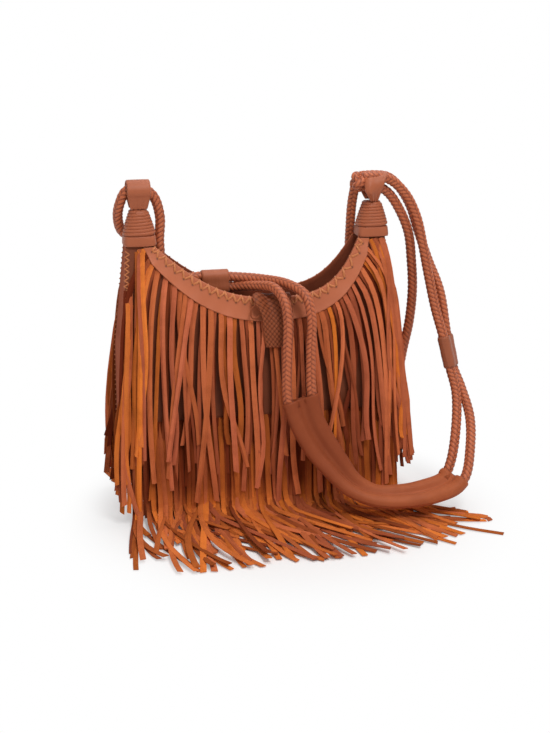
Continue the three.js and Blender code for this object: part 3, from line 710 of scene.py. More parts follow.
class BAG_OT_strap(bpy.types.Operator):
    """Braided cord, its two tails and the knot"""

    bl_idname = "bag.strap"
    bl_label = "Braided strap"

    def execute(self, context):
        sizes = context.scene.bag_sizes
        material = braid_material("plaited_laces", context.scene.bag_colours)
        knot = self.knot(sizes, material)
        for name, points, stands_for, end in (
                ("strap_braid", STRAP, "strap_cord", "object"),
                ("tail_braid_back", TAIL_BACK, "strap_tail_back", "bare"),
                ("tail_braid_side", TAIL_SIDE, "strap_tail_side", "bare")):
            steps = np.linalg.norm(np.diff(spline(points, 4000), axis=0), axis=1)
            length = steps.sum()
            path = spline(points, int(length / (BRAID_STEP * MM)))
            obj = braided_tube(name, path, CORD_D * MM, sizes.braid_relief)
            rides(obj, material, "braided_leather", stands_for)
            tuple(points[0])
            [tuple(p) for p in path[::6]]
        return {"FINISHED"}

    def knot(self, sizes, material):
        """The knot is a tight three-lobed turn of the cord: a trefoil squeezed to its block."""
        t = np.linspace(0, 2 * np.pi, 150, endpoint=False)
        x = np.sin(t) + 2 * np.sin(2 * t)
        y = np.cos(t) - 2 * np.cos(2 * t)
        z = -np.sin(3 * t)
        line = xyz(121 + z * 4.0, y * 3.0 - 1, 376 + x * 2.7) * MM
        obj = braided_tube("strap_knot_turns", line, KNOT_CORD_D * MM, sizes.braid_relief,
                           closed=True, around=22)
        return rides(obj, material, "braided_leather", "strap_knot")


def sleeve_shape(name, a, b, stations, around, wall, valley, lip=1.4, sink=9.0, end_flare=0.0,
                 flat=0.0):
    """A leather sleeve round two cords. Its section is a bar with half-round ends, as wide as the
    cords' spread plus the wall, and a valley between them on the outer face. At each end the
    leather turns in by its own thickness and runs back inside, so the sleeve reads as open."""
    pa, pb = spline(a, stations), spline(b, stations)
    centre = (pa + pb) / 2
    across = pa - pb
    spread = np.linalg.norm(across, axis=1)[:, None] / 2
    along = unit(np.gradient(centre, axis=0))
    across = unit(across - along * np.sum(across * along, 1, keepdims=True))
    out = np.cross(across, along)
    r = (CORD_D / 2 + 0.6 + wall) * MM
    q = np.linspace(0, 1, around, endpoint=False)
    c, s = np.cos(q * 2 * np.pi), np.sin(q * 2 * np.pi)
    u = np.linspace(0, 1, stations)[:, None]
    reach = np.sign(c) * np.abs(c) ** 0.8 * (spread + r)
    over = np.clip(np.abs(reach) - spread, 0, r)
    lobe = np.sqrt(np.clip(r * r - over * over, (0.02 * r) ** 2, None))
    dip = 1 - np.where(s > 0, valley, valley * 0.8) * np.exp(-(reach / (spread * 0.42)) ** 2)
    dip = dip * (1 - flat * held(1.6 * u))
    side = np.sign(s) * held(np.abs(s) * 3)
    crease = 1 + 0.03 * np.sin(u * 31 + 2 * q * 6.3) * np.sin(u * 17)
    height = side * lobe * dip * crease * (1 + end_flare * held(2 * u - 1) ** 8)

    def ring(share, k, shift):
        return (centre[k] + along[k] * shift + across[k] * (reach[k] * share)[:, None]
                + out[k] * (height[k] * share)[:, None])

    body = centre[:, None] + across[:, None] * reach[..., None] + out[:, None] * height[..., None]
    inset = 1 - lip * MM / r
    turned = 1 - 0.4 * (1 - inset)
    grid = np.stack([ring(inset, 0, sink * MM), ring(inset, 0, 0.0003), ring(turned, 0, 0.0),
                     *body[1:-1], ring(turned, -1, 0.0), ring(inset, -1, -0.0003),
                     ring(inset, -1, -sink * MM)])
    # Painted shade along the sleeve: none over its first third, rising to half by two thirds of the way
    # along; on the pad it darkens the part that climbs to the mouth
    t = held((np.linspace(0, 1, len(grid)) - 0.35) / 0.3)
    painted_shade_along = 0.5 * t * t * (3 - 2 * t)
    painted_shade_along = np.append(np.repeat(painted_shade_along, around), [painted_shade_along[0], painted_shade_along[-1]])
    return tube(name, grid, values={"painted_shade": painted_shade_along})


class BAG_OT_sleeves(bpy.types.Operator):
    """Shoulder pad and the two keepers on the strap"""

    bl_idname = "bag.sleeves"
    bl_label = "Pad and keepers"

    def execute(self, context):
        colours = context.scene.bag_colours
        smooth = smooth_material("soft_grain_leather", colours, darker=0.84)
        # The pad's leather darkens by its painted shade, towards a deep shade colour
        pad_leather = smooth_material("pad_leather", colours, cloud=0.5, takes_painted_shade=True, darker=0.9,
                                      gloss=0.12, deep=1.1)
        keeper_leather = smooth_material("keeper_leather", colours, cloud=0.5, darker=0.66)
        pad = sleeve_shape("pad_sleeve", [(.2050, -.1055, .0520), *PAD_ONE],
                           [(.2135, -.1295, .0470), *PAD_TWO], 110, 72, 2.2, 0.8,
                           lip=1.3, end_flare=0.14, flat=0.14)
        right = sleeve_shape("keeper_sleeve_right", KEEPER_OUT, KEEPER_BACK[::-1], 24, 48, 1.2, 0.2,
                             sink=5)
        upper, lower = ([(x, .005, z) for x in (-.064, -.032)] for z in (.2722, .2586))
        left = sleeve_shape("keeper_sleeve_left", upper, lower, 24, 48, 1.7, 0.1, sink=5)
        rides(pad, pad_leather, "smooth_leather", "shoulder_pad")
        rides(right, keeper_leather, "smooth_leather", "right_keeper")
        rides(left, smooth, "smooth_leather", "left_keeper")
        return {"FINISHED"}


# The pouch

def pouch_columns():
    """Places of the panel's columns: even over the flat, even in angle round the corner, then
    close together where the rim turns into the horn."""
    flat = HALF_WIDTH - CORNER
    turn = flat + CORNER * np.sin(np.linspace(0, np.pi / 2, 26)[1:])
    right = np.concatenate([np.linspace(0, flat, 34), turn, [118, 119.5, 122]])
    right = np.unique(right.round(4))
    return np.concatenate([-right[:0:-1], right])


def panel_grid(side, rows=44):
    """Outer and inner face of a panel: columns from just above the rounded bottom corner up to the
    rim or the horn's top, bulged by the pouch's half depth and a slow give."""
    x = pouch_columns()[:, None]
    over = np.clip(np.abs(x) - (HALF_WIDTH - CORNER), 0, CORNER)
    low = CORNER - np.sqrt(CORNER ** 2 - over ** 2)
    high = np.where(np.abs(x) > RIM_HALF + 3, HORN_TOP, rim_z(x))
    z = mix(low + 0.7, high, np.linspace(0, 1, rows)[None])
    give = 0.5 * np.sin(x / 37 + 1) * np.sin(z / 41) * held(z / 60)
    depth = half_depth(z) + np.minimum(give, 0.2)
    return [xyz(drawn_in(x, z), side * (depth - inset), z) for inset in (0.0, WALL)]


def gusset_grid(rows=160, cols=12):
    """Outer and inner face of the gusset: a strip up one side, round the bottom's corners and up
    the other side, as broad as the pouch is deep and drawn in a little along its middle."""
    arc = np.pi / 2 * CORNER
    flat = HALF_WIDTH - CORNER
    total = 2 * (HORN_TOP - CORNER + arc + flat)
    t = np.linspace(-0.5, 0.5, rows) * total
    h, sign = np.abs(t), np.sign(t)
    a = np.clip((h - flat) / CORNER, 0, np.pi / 2)
    x = sign * (np.minimum(h, flat) + CORNER * np.sin(a))
    z = CORNER * (1 - np.cos(a)) + np.clip(h - flat - arc, 0, None)
    nx, nz = -sign * np.sin(a), np.cos(a)
    v = np.linspace(-1, 1, cols)

    def face(inset):
        px, pz = x + nx * inset, z + nz * inset
        y = v[None] * (half_depth(pz)[:, None] - 2.5)
        sag = 2.0 * (1 - v[None] ** 2) * held((pz - 60) / 80)[:, None]
        sag = sag * held((HORN_TOP - 20 - pz) / 60)[:, None]
        xx = drawn_in(px, pz)[:, None] - sign[:, None] * sag
        return xyz(xx, y, pz[:, None])

    return face(0.0), face(WALL)


class BAG_OT_pouch(bpy.types.Operator):
    """Front and back panels and the gusset between them"""

    bl_idname = "bag.pouch"
    bl_label = "Pouch"

    def execute(self, context):
        colours = context.scene.bag_colours
        # The panel suede is darkened to 0.42 of the suede colour: painted shade, so that it reads dark
        # behind the strips
        suede = suede_material("panel_suede", colours, 45.0, darker=0.42)
        bare = smooth_material("panel_leather", colours, cloud=0.5, takes_painted_shade=True, gloss=0.2)
        for name, side, material, stands_for in (("pouch_front", -1, bare, "front_panel"),
                                                 ("pouch_back", 1, suede, "back_panel")):
            outer, inner = panel_grid(side)
            # Painted shade over the panel: none about its lower left corner, which shows bare, rising
            # to 0.62 further away; the front panel's leather reads it
            far = np.hypot((outer[..., 0] + 146) * 0.8, outer[..., 2] - 62) / 44
            obj = slab(name, outer, inner, painted_shade=0.62 * held(2 * far - 1))
            rides(obj, material, "suede", stands_for)
        rides(slab("pouch_gusset", *gusset_grid()),
              suede_material("gusset_suede", colours, 45.0, darker=0.7), "suede", "gusset")
        return {"FINISHED"}


def lay_lace(name, line, out, width, thick, material):
    """A flat lace laid along a line: its section is an oval, broad across the line and thin out."""
    across, outward = outward_axes(line, out)
    rides(swept(name, line * MM, across, outward, width / 2, thick / 2), material,
          "smooth_leather")


def dipped(tooth):
    """How far a lace goes into the leather where it passes through: it starts near the tip of a tooth.
    """
    return held((tooth - 0.86) / 0.14)


class BAG_OT_rim(bpy.types.Operator):
    """Rim bands and the lacing along the rim and the side seams"""

    bl_idname = "bag.rim"
    bl_label = "Rim bands and lacing"

    def execute(self, context):
        sizes, colours = context.scene.bag_sizes, context.scene.bag_colours
        smooth = smooth_material("band_leather", colours, takes_painted_shade=True)
        lace = lace_material("lace_leather", colours)
        for end, side in (("front", -1), ("back", 1)):
            rides(self.band(end, side), smooth, "smooth_leather", end + "_rim_band")
            self.rim_lacing(end, side, sizes, lace)
            for hand, way in (("left", -1), ("right", 1)):
                self.seam_lacing(f"{end}_{hand}_seam_lacing", side, way, sizes, lace)
        return {"FINISHED"}

    def rim_lacing(self, end, side, sizes, lace):
        """A zigzag over the rim: each tooth goes down the band to a hole and back up, and turns
        inwards over the edge between two teeth."""
        q = np.linspace(-LACED_TO, LACED_TO, RIM_STITCHES * STITCH_PLACES + 1)
        tooth = 1 - np.abs((np.arange(len(q)) / STITCH_PLACES % 1) * 2 - 1)
        down = 0.3 + STITCH_DROP * tooth
        x, z = on_band(q, down)
        over = held(1 - down / 2.2)
        lift = 2.9 + 0.5 * np.sin(np.pi * tooth) - 1.7 * dipped(tooth)
        line = xyz(x, side * (half_depth(z) + lift - 3.2 * over), z + 1.2 * over)
        out = xyz(0, side, over * 1.2)
        lay_lace(end + "_rim_lacing", line, out, sizes.lace_width, 0.0013, lace)

    def seam_lacing(self, name, side, way, sizes, lace):
        """A zigzag down a side seam, from the horn round into the bottom's corner."""
        t = np.linspace(0, 1, SEAM_STITCHES * STITCH_PLACES + 1)
        tooth = 1 - np.abs((t * SEAM_STITCHES % 1) * 2 - 1)
        z = mix(SEAM_TOP, SEAM_LOW, t)
        edge = np.where(z < CORNER, HALF_WIDTH - CORNER + np.sqrt(
            np.clip(CORNER ** 2 - (CORNER - z) ** 2, 0, None)), HALF_WIDTH)
        x = drawn_in(edge - 5.6 * tooth + 0.9 * (1 - tooth), z)
        y = half_depth(z) + 0.9 - 1.5 * (1 - tooth) - 1.2 * dipped(tooth)
        out = xyz(way * (1 - tooth), side, 0)
        lay_lace(name, xyz(way * x, side * y, z), out, sizes.lace_width * 0.62,
                 0.0010, lace)

    def band(self, end, side):
        """The band lies on the panel along the rim and lifts away towards its free lower edge:
        its height is a soft puff plus a square of the way down, with slow waves along it."""
        s, v = np.meshgrid(np.linspace(-BAND_TO, BAND_TO, 420), np.linspace(0, 1, 30),
                           indexing="ij")
        x, z = on_band(s, v * band_width(s))
        free = held((1.1 - np.abs(s)) / 0.12)
        wave = 0.35 * np.sin(s * 19) + 0.25 * np.sin(s * 43 + 1)
        puff = 0.5 * np.sin(np.pi * v) + (3.4 * v ** 2.4 + wave * v ** 2) * free

        def face(lift):
            return xyz(x, side * (half_depth(z) + 0.6 + lift), z)

        # Painted shade where the lace goes through the band: dark at each stitch's lowest point and
        # gone within about 2.5 mm
        q = np.linspace(-LACED_TO, LACED_TO, 2 * RIM_STITCHES + 1)[1::2]
        hx, hz = on_band(q, 0.3 + STITCH_DROP)
        far = np.hypot(x[..., None] - hx, z[..., None] - hz).min(-1)
        return slab(end + "_rim_leather", face(1.5 + puff), face(puff),
                    painted_shade=np.exp(-(far / 1.25) ** 2))


def bent_out(line):
    """The outward way of a strap that bends in the plane of Y and Z: a quarter turn of its line."""
    along = unit(np.gradient(line, axis=0))
    return xyz(0, along[:, 2], -along[:, 1])


class BAG_OT_closure(bpy.types.Operator):
    """Closure tab that folds over the front rim"""

    bl_idname = "bag.closure"
    bl_label = "Closure tab"

    def execute(self, context):
        tab_leather = smooth_material("tab_leather", context.scene.bag_colours, cloud=0.6,
                                      takes_painted_shade=True, darker=0.62, gloss=0.15)
        rides(self.tab(), tab_leather, "smooth_leather", "closure_tab")
        t = np.linspace(0, 2 * np.pi, 60, endpoint=False)
        ring = xyz(-8.5 + 6.8 * np.cos(t), -41.5 - 1.5 * np.sin(2 * t),
                   239.5 + 8.5 * np.sin(t + 0.4)) * MM
        along = unit(np.roll(ring, -1, 0) - np.roll(ring, 1, 0))
        out = np.cross(along, (0, -1.0, 0))
        thong = swept("closure_thong", ring, unit(np.cross(along, out)), unit(out), 0.0012, 0.0009,
                      closed=True)
        rides(thong, tab_leather, "smooth_leather")
        return {"FINISHED"}

    def tab(self):
        """A strip from inside the back rim, over the mouth and down the front. Its corner curls
        where it folds, and its face carries the relief of a diagonal weave."""
        back, rim = half_depth(np.array([226.0, RIM_LOW]))
        line = spline([(0, y, z) for y, z in [
            (back - 4.2, 226), (20, 240), (4, 246), (-14, 250.5), (-rim + 2, RIM_LOW + 3.2),
            (-rim - 7, RIM_LOW + 0.5), (-43.5, 238), (-49, 220), (-51.5, 199)]], 150)
        out = bent_out(line)
        u, v = np.meshgrid(np.linspace(0, 1, len(line)), np.linspace(-1, 1, 60), indexing="ij")
        width = TAB_HALF * (1 - 0.18 * held((u - 0.8) / 0.2) ** 2)
        curl = np.exp(-((u - 0.58) / 0.09) ** 2)
        wave = (0.7 * np.sin(v * 4 + u * 9) * held((u - 0.5) * 3)
                + curl * (1.6 * np.sin(v * 7 + 1) + 5.5 * held(-v - 0.1) ** 1.5))
        a, b = u * 22 + v * 3.4, u * 22 - v * 3.4
        weave = np.abs(np.sin(np.pi * a) * np.sin(np.pi * b)) ** 0.5

        def face(lift):
            p = line[:, None] + out[:, None] * (lift + wave)[..., None]
            p[..., 0] = TAB_X + v * width - 10 * curl * held(-v)
            return p

        # Painted shade in the weave's hollows: darkest where the weave is lowest, none where it stands
        # high
        return slab("closure_flap", face(0.4 + 0.9 * weave), face(-0.9),
                    painted_shade=np.clip(0.95 - 1.3 * weave, 0, 0.85))


# The horns

def squared(angle, power):
    """Sine and cosine eased towards a rounded box."""
    c, s = np.cos(angle), np.sin(angle)
    return np.sign(c) * np.abs(c) ** power, np.sign(s) * np.abs(s) ** power


def oval_ring(x0, half_a, half_b, z, power):
    """A level ring about a horn: a superellipse of a power."""
    c, s = squared(RING_ANGLE, 2 / power)
    return xyz(x0 + half_a * c, half_b * s, z) * MM


class BAG_OT_horns(bpy.types.Operator):
    """Cuffs, wound laces and leather loops of the two horns"""

    bl_idname = "bag.horns"
    bl_label = "Horns"

    def execute(self, context):
        smooth = smooth_material("soft_grain_leather", context.scene.bag_colours)
        wrap_z = CUFF_Z + CUFF_H - 1.2
        for hand, sign, x0 in (("left", -1, -HORN_X + 1), ("right", 1, HORN_X + 2.5)):
            rides(self.cuff(hand, sign, x0), smooth, "smooth_leather", hand + "_horn_cuff")
            rides(self.wound_lace(hand, x0, wrap_z), smooth, "smooth_leather", hand + "_lace_wrap")
            rides(self.core(hand, x0, wrap_z), smooth, "smooth_leather", hand + "_lace_wrap")
        seat_z = wrap_z + WRAP_H + 1.0
        for hand, x0, half, twist, slant in (("left", -HORN_X + 1, 13.2, 0, 0),
                                             ("right", HORN_X + 3, 17.2, -14, 1)):
            rides(self.loop(hand, x0, seat_z, LOOP_HEIGHT, half, twist, slant), smooth,
                  "smooth_leather", hand + "_horn_loop")
        return {"FINISHED"}

    def cuff(self, hand, sign, x0):
        """A leather ring about the horn's foot, with its edges rounded in and five soft folds."""
        rings = []
        for share, z in CUFF_PROFILE:
            fold = 1 + 0.010 * np.sin(RING_ANGLE * 5 + sign) * (0 < z < 0.9)
            rings.append(oval_ring(x0, CUFF_A * share * fold, CUFF_B * share * fold,
                                   CUFF_Z + z * CUFF_H, mix(4.4, 3.2, z)))
        return tube(hand + "_cuff_leather", np.stack(rings))

    def wound_lace(self, hand, x0, wrap_z):
        """A lace wound up the horn: its ovals shrink evenly from the cuff's size to the loop's."""
        t = np.linspace(0, 1, int(LACE_TURNS * 60))
        half_a = mix(CUFF_A * 0.955, WRAP_A, t ** 1.15)
        half_b = mix(CUFF_B * 0.955, WRAP_B, t ** 1.15)
        c, s = squared(t * LACE_TURNS * 2 * np.pi + 0.6, 2 / WRAP_POWER)
        line = xyz(x0 + half_a * c, half_b * s, wrap_z + 1.9 + t ** 0.98 * (WRAP_H - 3.8))
        across, out = outward_axes(line, xyz(c * half_b, s * half_a, 0))
        return swept(hand + "_wound_lace", line * MM, across, out, 0.00195, 0.0012, 10)

    def core(self, hand, x0, wrap_z):
        """What the lace is wound on: it fills the horn behind the turns."""
        rings = []
        for k in np.linspace(0, 1, 8):
            rings.append(oval_ring(x0, mix(CUFF_A * 0.93, WRAP_A, k ** 1.15) - 0.4,
                                   mix(CUFF_B * 0.93, WRAP_B, k ** 1.15) - 0.4,
                                   wrap_z + 0.2 + k * (WRAP_H - 0.4), WRAP_POWER))
        return tube(hand + "_horn_core", np.stack(rings))

    def loop(self, hand, x0, z0, height, half, twist, slant):
        """A strap bent into an arch: its line is a half circle over two legs that draw together,
        and it is gathered narrower with pleats towards its seat. The slant lays the front leg
        over to one side, with a puffed fold along its left edge."""
        a = np.linspace(-0.5, np.pi + 0.5, 70)
        s = np.sin(a)
        y = (half - 1.2) * np.cos(a)
        z = height - half + np.where(s > 0, half - 1.2, (half - 1.2) * 0.8) * s
        foot = 0.55 * half
        line = spline(xyz(0, np.concatenate([[foot - 1], y, [-foot + 1]]),
                          np.concatenate([[0.4], z, [0.4]])), 110)
        out = bent_out(line)
        v = np.linspace(-1, 1, 24)[None]
        low = held(1 - line[:, 2] / 16)[:, None]
        width = 12.5 * mix(1, 0.72 - 0.3 * slant, low)
        pleat = 0.5 * low * np.sin(v * 11) - 0.25 * (1 - low) * v ** 4

        def face(lift):
            p = line[:, None] + out[:, None] * (lift + pleat)[..., None]
            share = p[..., 2] / height
            turn = np.radians(twist) * share
            front = slant * held(-p[..., 1] / half)
            px, py = width * v, p[..., 1] - front * 3.5 * np.exp(-((v + 0.6) / 0.5) ** 2)
            px = px * (1 - 0.3 * front * (1 - share)) + slant * (9 * share ** 2 - 5 * share)
            p[..., 2] += front * 0.32 * width * v * np.sin(np.pi * held(share))
            return xyz(x0 + px * np.cos(turn) - py * np.sin(turn),
                       px * np.sin(turn) + py * np.cos(turn), z0 + p[..., 2])

        return slab(hand + "_loop_leather", face(1.1), face(-1.1))


# The fringe

def strips_mesh(name, centre, across, out, width, thick, cup, values, bevel):
    """Many strips at once. centre is strips by stations by 3, across and out are their axes. Each
    strip is a bar of five edges, broad across and thin outwards, raised along its middle by its
    cup, closed at both ends and cut off at a slant by its bevel. Values are strips by stations."""
    count, n = centre.shape[:2]
    w, c = width.reshape(-1, 1, 1) / 2, cup.reshape(-1, 1, 1)
    h = thick / 2
    ends = np.zeros((count, n, 1))
    ends[:, -1, 0] = bevel
    along = unit(np.gradient(centre, axis=1)) * ends
    corners = np.stack([
        centre - across * w * 0.92 - out * h + along, centre + across * w * 0.92 - out * h - along,
        centre + across * w + out * h * 0.4 - along, centre + out * (c + h),
        centre - across * w + out * h * 0.4 + along], 2)
    k = np.arange(count)[:, None, None] * (n * 5)
    last = (n - 1) * 5
    caps = np.array([[0, 3, 2, 1], [last, last + 1, last + 2, last + 3]])
    tris = np.array([[0, 4, 3], [last, last + 3, last + 4]])
    faces = np.vstack([(k + grid_faces(n, 5, wrap=True)[None]).reshape(-1, 4),
                       (k + caps[None]).reshape(-1, 4)])
    values = {key: np.repeat(np.broadcast_to(v, (count, n)), 5) for key, v in values.items()}
    return turned_out(put_mesh(name, corners.reshape(-1, 3) * MM, faces, None, values,
                               (k + tris[None]).reshape(-1, 3), smooth=False))


def strip_axes(centre, side, roll):
    """Axes of each station: across lies level and square to the strip, out is square to both, and
    both are rolled about the strip by an angle."""
    along = unit(np.gradient(centre, axis=1))
    level = np.zeros_like(centre)
    level[..., 0] = 1.0
    across = unit(level - along * np.sum(level * along, -1, keepdims=True))
    out = np.cross(along, across) * -side
    c, s = np.cos(roll)[..., None], np.sin(roll)[..., None]
    return across * c + out * s, out * c - across * s


def upper_roots(each, layer_shift, rng):
    """Where one layer of the upper tier starts: along the band's free edge from horn to horn, and a
    few on each side seam below the horns. Gives the places and the way that each one leans."""
    dense = np.linspace(-1.1, 1.1, 1200)
    x, z = on_band(dense, band_width(dense) * 0.86)
    stops = np.concatenate([[0], np.cumsum(np.hypot(np.diff(x), np.diff(z)))])
    seam = 6
    k = np.arange(each - 2 * seam - 8)
    want = (k + 0.5 + layer_shift + rng.uniform(-0.2, 0.2, len(k))) / (len(k) + 0.74) * stops[-1]
    s = np.interp(want, stops, dense)
    x0, z0 = on_band(s, band_width(s) * 0.86)
    xa, za = on_band(s, band_width(s) * 0.6)
    lean = (x0 - xa) / np.hypot(x0 - xa, z0 - za)
    down = np.tile(np.linspace(268, 176, seam), 2) + rng.uniform(-7, 7, 2 * seam)
    way = np.repeat([-1.0, 1.0], seam)
    x0 = np.concatenate([x0, way * (drawn_in(HALF_WIDTH, down) - rng.uniform(1, 8, 2 * seam)),
                         rng.uniform(-141, -131, 3), rng.uniform(133, 148, 5)])
    high = rng.uniform(308, 312, 8)
    return (x0, np.concatenate([z0, down, high]),
            np.concatenate([lean, way * 0.15, [0] * 3, [0.2] * 5]))


def upper_strips(side, count, rng, stations=15):
    """The upper tier, in three layers. Each strip comes out from under the rim band square to the
    rim, turns over and falls: height falls evenly, the lean dies away, and slow waves shared by
    neighbours and its own small ones move it sideways."""
    each = count // LAYERS
    roots = np.hstack([upper_roots(each, 0.37 * k, rng) for k in range(LAYERS)])
    x0, z0, lean = (r[:, None] for r in roots)
    layer = np.repeat(np.arange(LAYERS), each)[:, None]
    n = len(x0)

    def draw(low, high):
        return rng.uniform(low, high, (n, 1))

    edge = np.abs(x0 / 140)
    tip_z = (draw(6, 94) - 4 * (layer - 1) + np.where(x0 > 0, 26, draw(-14, 34)) * edge ** 2)
    tip_x = (x0 * (1.05 + 0.09 * held(edge) ** 3 - 0.10 * held(edge - 1) * 8)
             + draw(-9, 9) * np.clip(2 - edge, 0.4, 1))
    tip_z = np.where(tip_x < -137, draw(66, 98), tip_z)
    tip_z = np.where(tip_x < -153, draw(4, 84), tip_z)
    q = np.linspace(0, 1, stations)[None] ** 1.35
    z = mix(z0, tip_z, q)
    bulge = draw(1.0, 6.5)
    lift = (held(q * 11) * (0.8 + layer * 4.2 + draw(0, 1.8))
            + bulge * np.sin(np.pi * held(q * 1.1)))
    shared = 3.6 * np.sin(x0 / 15 + 2.2 * q + layer) * q + 2.4 * np.sin(x0 / 6.3 - 3 * q) * q
    own = draw(-6.5, 6.5) * np.sin(draw(2, 8) * q + layer) * q ** 0.5
    stray = rng.random((n, 1)) < 0.06
    drift = rng.normal(0, 9, (n, 1)) * np.where(stray, 2.6, 1) * q ** 1.5
    leaning = lean * (11 + 17 * held((edge - 0.7) / 0.25)) * (1 - np.exp(-9 * q))
    xx = mix(x0, tip_x, q ** 0.8) + leaning + shared + own + drift
    bound = (drawn_in(HALF_WIDTH, z) + 2 + 10 * held((190 - z) / 110)
             + np.where(stray & (x0 > 60), 14, draw(-6, 3)))
    over = np.clip(np.abs(xx) - bound, 0, None).max(1, keepdims=True)
    xx = np.clip(xx - np.sign(x0) * over * held(q * 1.6), -bound, bound)
    yy = side * (half_depth(z) + 0.8 + lift + draw(4, 9) * q * q)
    roll = (draw(-0.6, 0.6) * np.sin(np.pi * q * draw(0.5, 1.6))
            + rng.normal(0, 0.3, (n, 1)) * q)
    return xyz(xx, yy, z), roll, layer.ravel() / 2


def lower_strips(side, count, rng, reach_mm, turn, stations=19):
    """The lower tier. Each strip is walked: its pitch stays down along the panel, turns level within
    a short bend at the floor and stays level; its heading on the floor turns to one side; and the
    steps are added up. Its floor run is shortened where it would reach further than the tier."""
    def draw(low, high):
        return rng.uniform(low, high, (count, 1))

    x0 = np.linspace(-138, TIER_HALF - 3, count) + rng.uniform(-2, 2, count)
    x0 = np.where(np.arange(count) % 19 == 5, rng.uniform(-158, -149, count), x0)[:, None]
    layer = rng.permutation(np.arange(count) % LAYERS)[:, None]
    outx = x0 / TIER_HALF
    t = np.linspace(0, 1, stations)[None]
    pile = draw(0.9, 9.0)
    drop = TIER_TOP - pile - FLOOR_BEND * 0.14
    run = reach_mm * (draw(0.34, 1.2) - 0.12 * np.abs(outx) ** 3)
    start = rng.normal(0.08, 0.28, (count, 1)) + 0.32 * outx
    heading_end = start + turn * draw(0.15, 1.25)

    def walk(run):
        total = drop + run
        past = t * total - drop + FLOOR_BEND / 2
        on_floor = held(past / (run + FLOOR_BEND / 2))
        level = held(past / FLOOR_BEND)
        pitch = -np.pi / 2 * (1 - level * level * (3 - 2 * level))
        heading = mix(start, heading_end, on_floor ** 0.8)
        step = xyz(np.sin(heading) * np.cos(pitch), side * np.cos(heading) * np.cos(pitch),
                   np.sin(pitch))
        middle = (step[:, 1:] + step[:, :-1]) / 2 * (total / (stations - 1))[..., None]
        return np.concatenate([np.zeros((count, 1, 3)), np.cumsum(middle, 1)], 1), on_floor

    forward = np.abs(walk(run)[0][:, -1:, 1])
    place, on_floor = walk(run * np.minimum(1, (reach_mm - 4) / np.maximum(forward, 1)))
    fall = place[..., 2]
    z = TIER_TOP + fall * (TIER_TOP - pile) / -fall.min(1, keepdims=True)
    z = z - (pile - 0.9) * on_floor ** 3 * draw(0.3, 1)
    tip_up = np.where(rng.random((count, 1)) < 0.15, draw(2, 6), 0)
    z = np.maximum(z + tip_up * on_floor ** 6, LOWEST_STRIP)
    away = held(t * 6) * (0.6 + layer * 2.4) + 9 * held(1 - z / TIER_TOP)
    sway = draw(-6, 6) * np.sin(np.pi * t * draw(0.8, 2.4)) * t
    xx = x0 + place[..., 0] + sway + 2.0 * np.sin(x0 / 9 + 3 * t) * t
    yy = side * (half_depth(np.maximum(z, 40)) + 1.6 + away) + place[..., 1]
    most = np.clip(x0 - xx.min(1, keepdims=True), 1, None)
    xx = x0 + (xx - x0) * np.minimum(1, (x0 + TIER_LEFT - 5 * layer) / most)
    xx = np.minimum(xx, TIER_RIGHT)
    if side < 0:
        under = (xx > 80) & (yy < -92)
        z = np.where(under, np.minimum(z, 8.0 - 2.0 * (yy < -112)), z)
    roll = draw(-0.6, 0.6) * np.sin(np.pi * t) * (1 - 0.7 * on_floor)
    return xyz(xx, yy, z), roll, layer.ravel() / 2


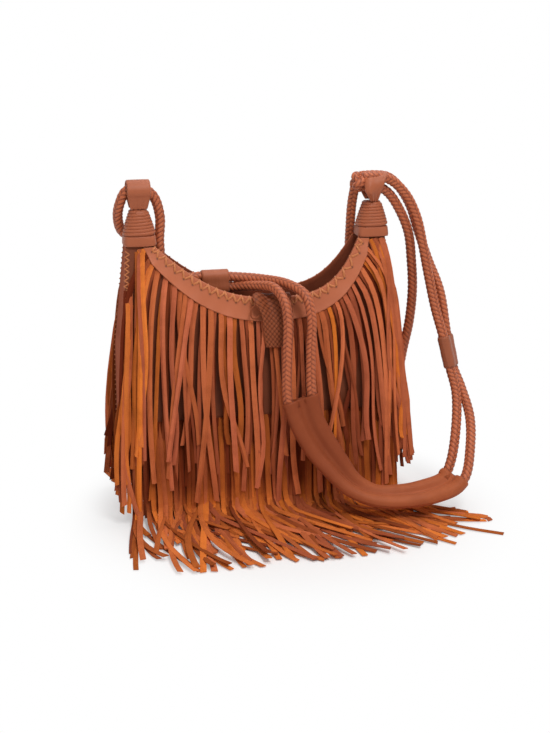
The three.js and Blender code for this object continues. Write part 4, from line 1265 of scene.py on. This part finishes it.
class BAG_OT_fringe(bpy.types.Operator):
    """Two tiers of cut fringe on each side"""

    bl_idname = "bag.fringe"
    bl_label = "Fringe"

    def execute(self, context):
        sizes = context.scene.bag_sizes
        material = strip_material("strip_suede", context.scene.bag_colours)
        for end, side, upper_seed, lower_seed, reach, turn in (
                ("front", -1, 8, 3, 148, 0.75), ("back", 1, 13, 8, 78, 0.2)):
            rng = np.random.default_rng(upper_seed)
            centre, roll, outer = upper_strips(side, sizes.upper_strips, rng)
            n = len(centre)
            often = np.where(centre[:, 0, 0] < -118, 0.5, 0.13)
            tint = np.where(rng.random(n) < often, rng.uniform(0.6, 1, n),
                            rng.uniform(0.0, 0.3, n))
            # Painted shade by layer: the innermost layer darkens most and the outermost hardly at all
            self.tier(f"{end}_upper", centre, side, roll, rng, sizes, 1.0, tint,
                      0.84 * (1 - 0.95 * outer), 0, material, "suede")

            rng = np.random.default_rng(lower_seed)
            centre, roll, outer = lower_strips(side, sizes.lower_strips, rng, reach, turn)
            n = len(centre)
            tint = np.where(rng.random(n) < 0.72, rng.uniform(0.45, 0.95, n),
                            rng.uniform(0.1, 0.4, n))
            # Painted shade on the lower tier: by layer, and more up the hanging part, none at 8 mm and
            # up to 0.66 from 44 mm up
            hanging_shade = 0.66 * held((centre[..., 2] - 8) / 36)
            self.tier(f"{end}_lower", centre, side, roll, rng, sizes, 1.12, tint,
                      0.56 * (1 - 0.95 * outer), hanging_shade, material, "orange_suede")
        return {"FINISHED"}

    def tier(self, name, centre, side, roll, rng, sizes, broader, tint, base, hanging_shade, material, slot):
        """One tier's strips. Their shade is painted shade for their layer and, on the lower tier, for
        their hanging parts, plus a random part that is their own tone.
        """
        n = len(centre)
        across, out = strip_axes(centre, side, roll)
        width = sizes.strip_width / MM * rng.uniform(0.78, 1.15, n) * broader
        shade = np.clip((base + rng.uniform(-0.2, 0.25, n))[:, None] + hanging_shade, 0, 0.95)
        obj = strips_mesh(name + "_strips", centre, across, out, width,
                          sizes.strip_thickness / MM, rng.uniform(0.1, 0.9, n),
                          {"tint": tint[:, None], "shade": shade}, rng.uniform(-1.6, 1.6, n))
        rides(obj, material, slot, name + "_fringe")


class BAG_PT_panel(bpy.types.Panel):
    """Lists the bag's pieces"""

    bl_idname = "BAG_PT_panel"
    bl_label = "Fringed suede bag"
    bl_space_type = "VIEW_3D"
    bl_region_type = "UI"
    bl_category = "Bag"

    def draw(self, context):
        for name in BagSizes.__annotations__:
            self.layout.prop(context.scene.bag_sizes, name)
        for name in BagColours.__annotations__:
            self.layout.prop(context.scene.bag_colours, name)
        for operator in OPERATORS:
            self.layout.operator(operator.bl_idname)


OPERATORS = (BAG_OT_stage, BAG_OT_sleeves, BAG_OT_strap, BAG_OT_pouch, BAG_OT_rim,
             BAG_OT_closure, BAG_OT_horns, BAG_OT_fringe)
CLASSES = (BagSizes, BagColours, *OPERATORS, BAG_PT_panel)


def register():
    """Adds the classes and the bag's settings to the scene."""
    for cls in CLASSES:
        bpy.utils.register_class(cls)
    bpy.types.Scene.bag_sizes = PointerProperty(type=BagSizes)
    bpy.types.Scene.bag_colours = PointerProperty(type=BagColours)


def unregister():
    """Takes the settings and the classes away again."""
    del bpy.types.Scene.bag_colours
    del bpy.types.Scene.bag_sizes
    for cls in reversed(CLASSES):
        bpy.utils.unregister_class(cls)


def main():
    """Builds the bag, operator by operator."""
    register()
    for operator in ("stage", "sleeves", "strap", "pouch", "rim", "closure", "horns", "fringe"):
        getattr(bpy.ops.bag, operator)()


if __name__ == "__main__":
    main()
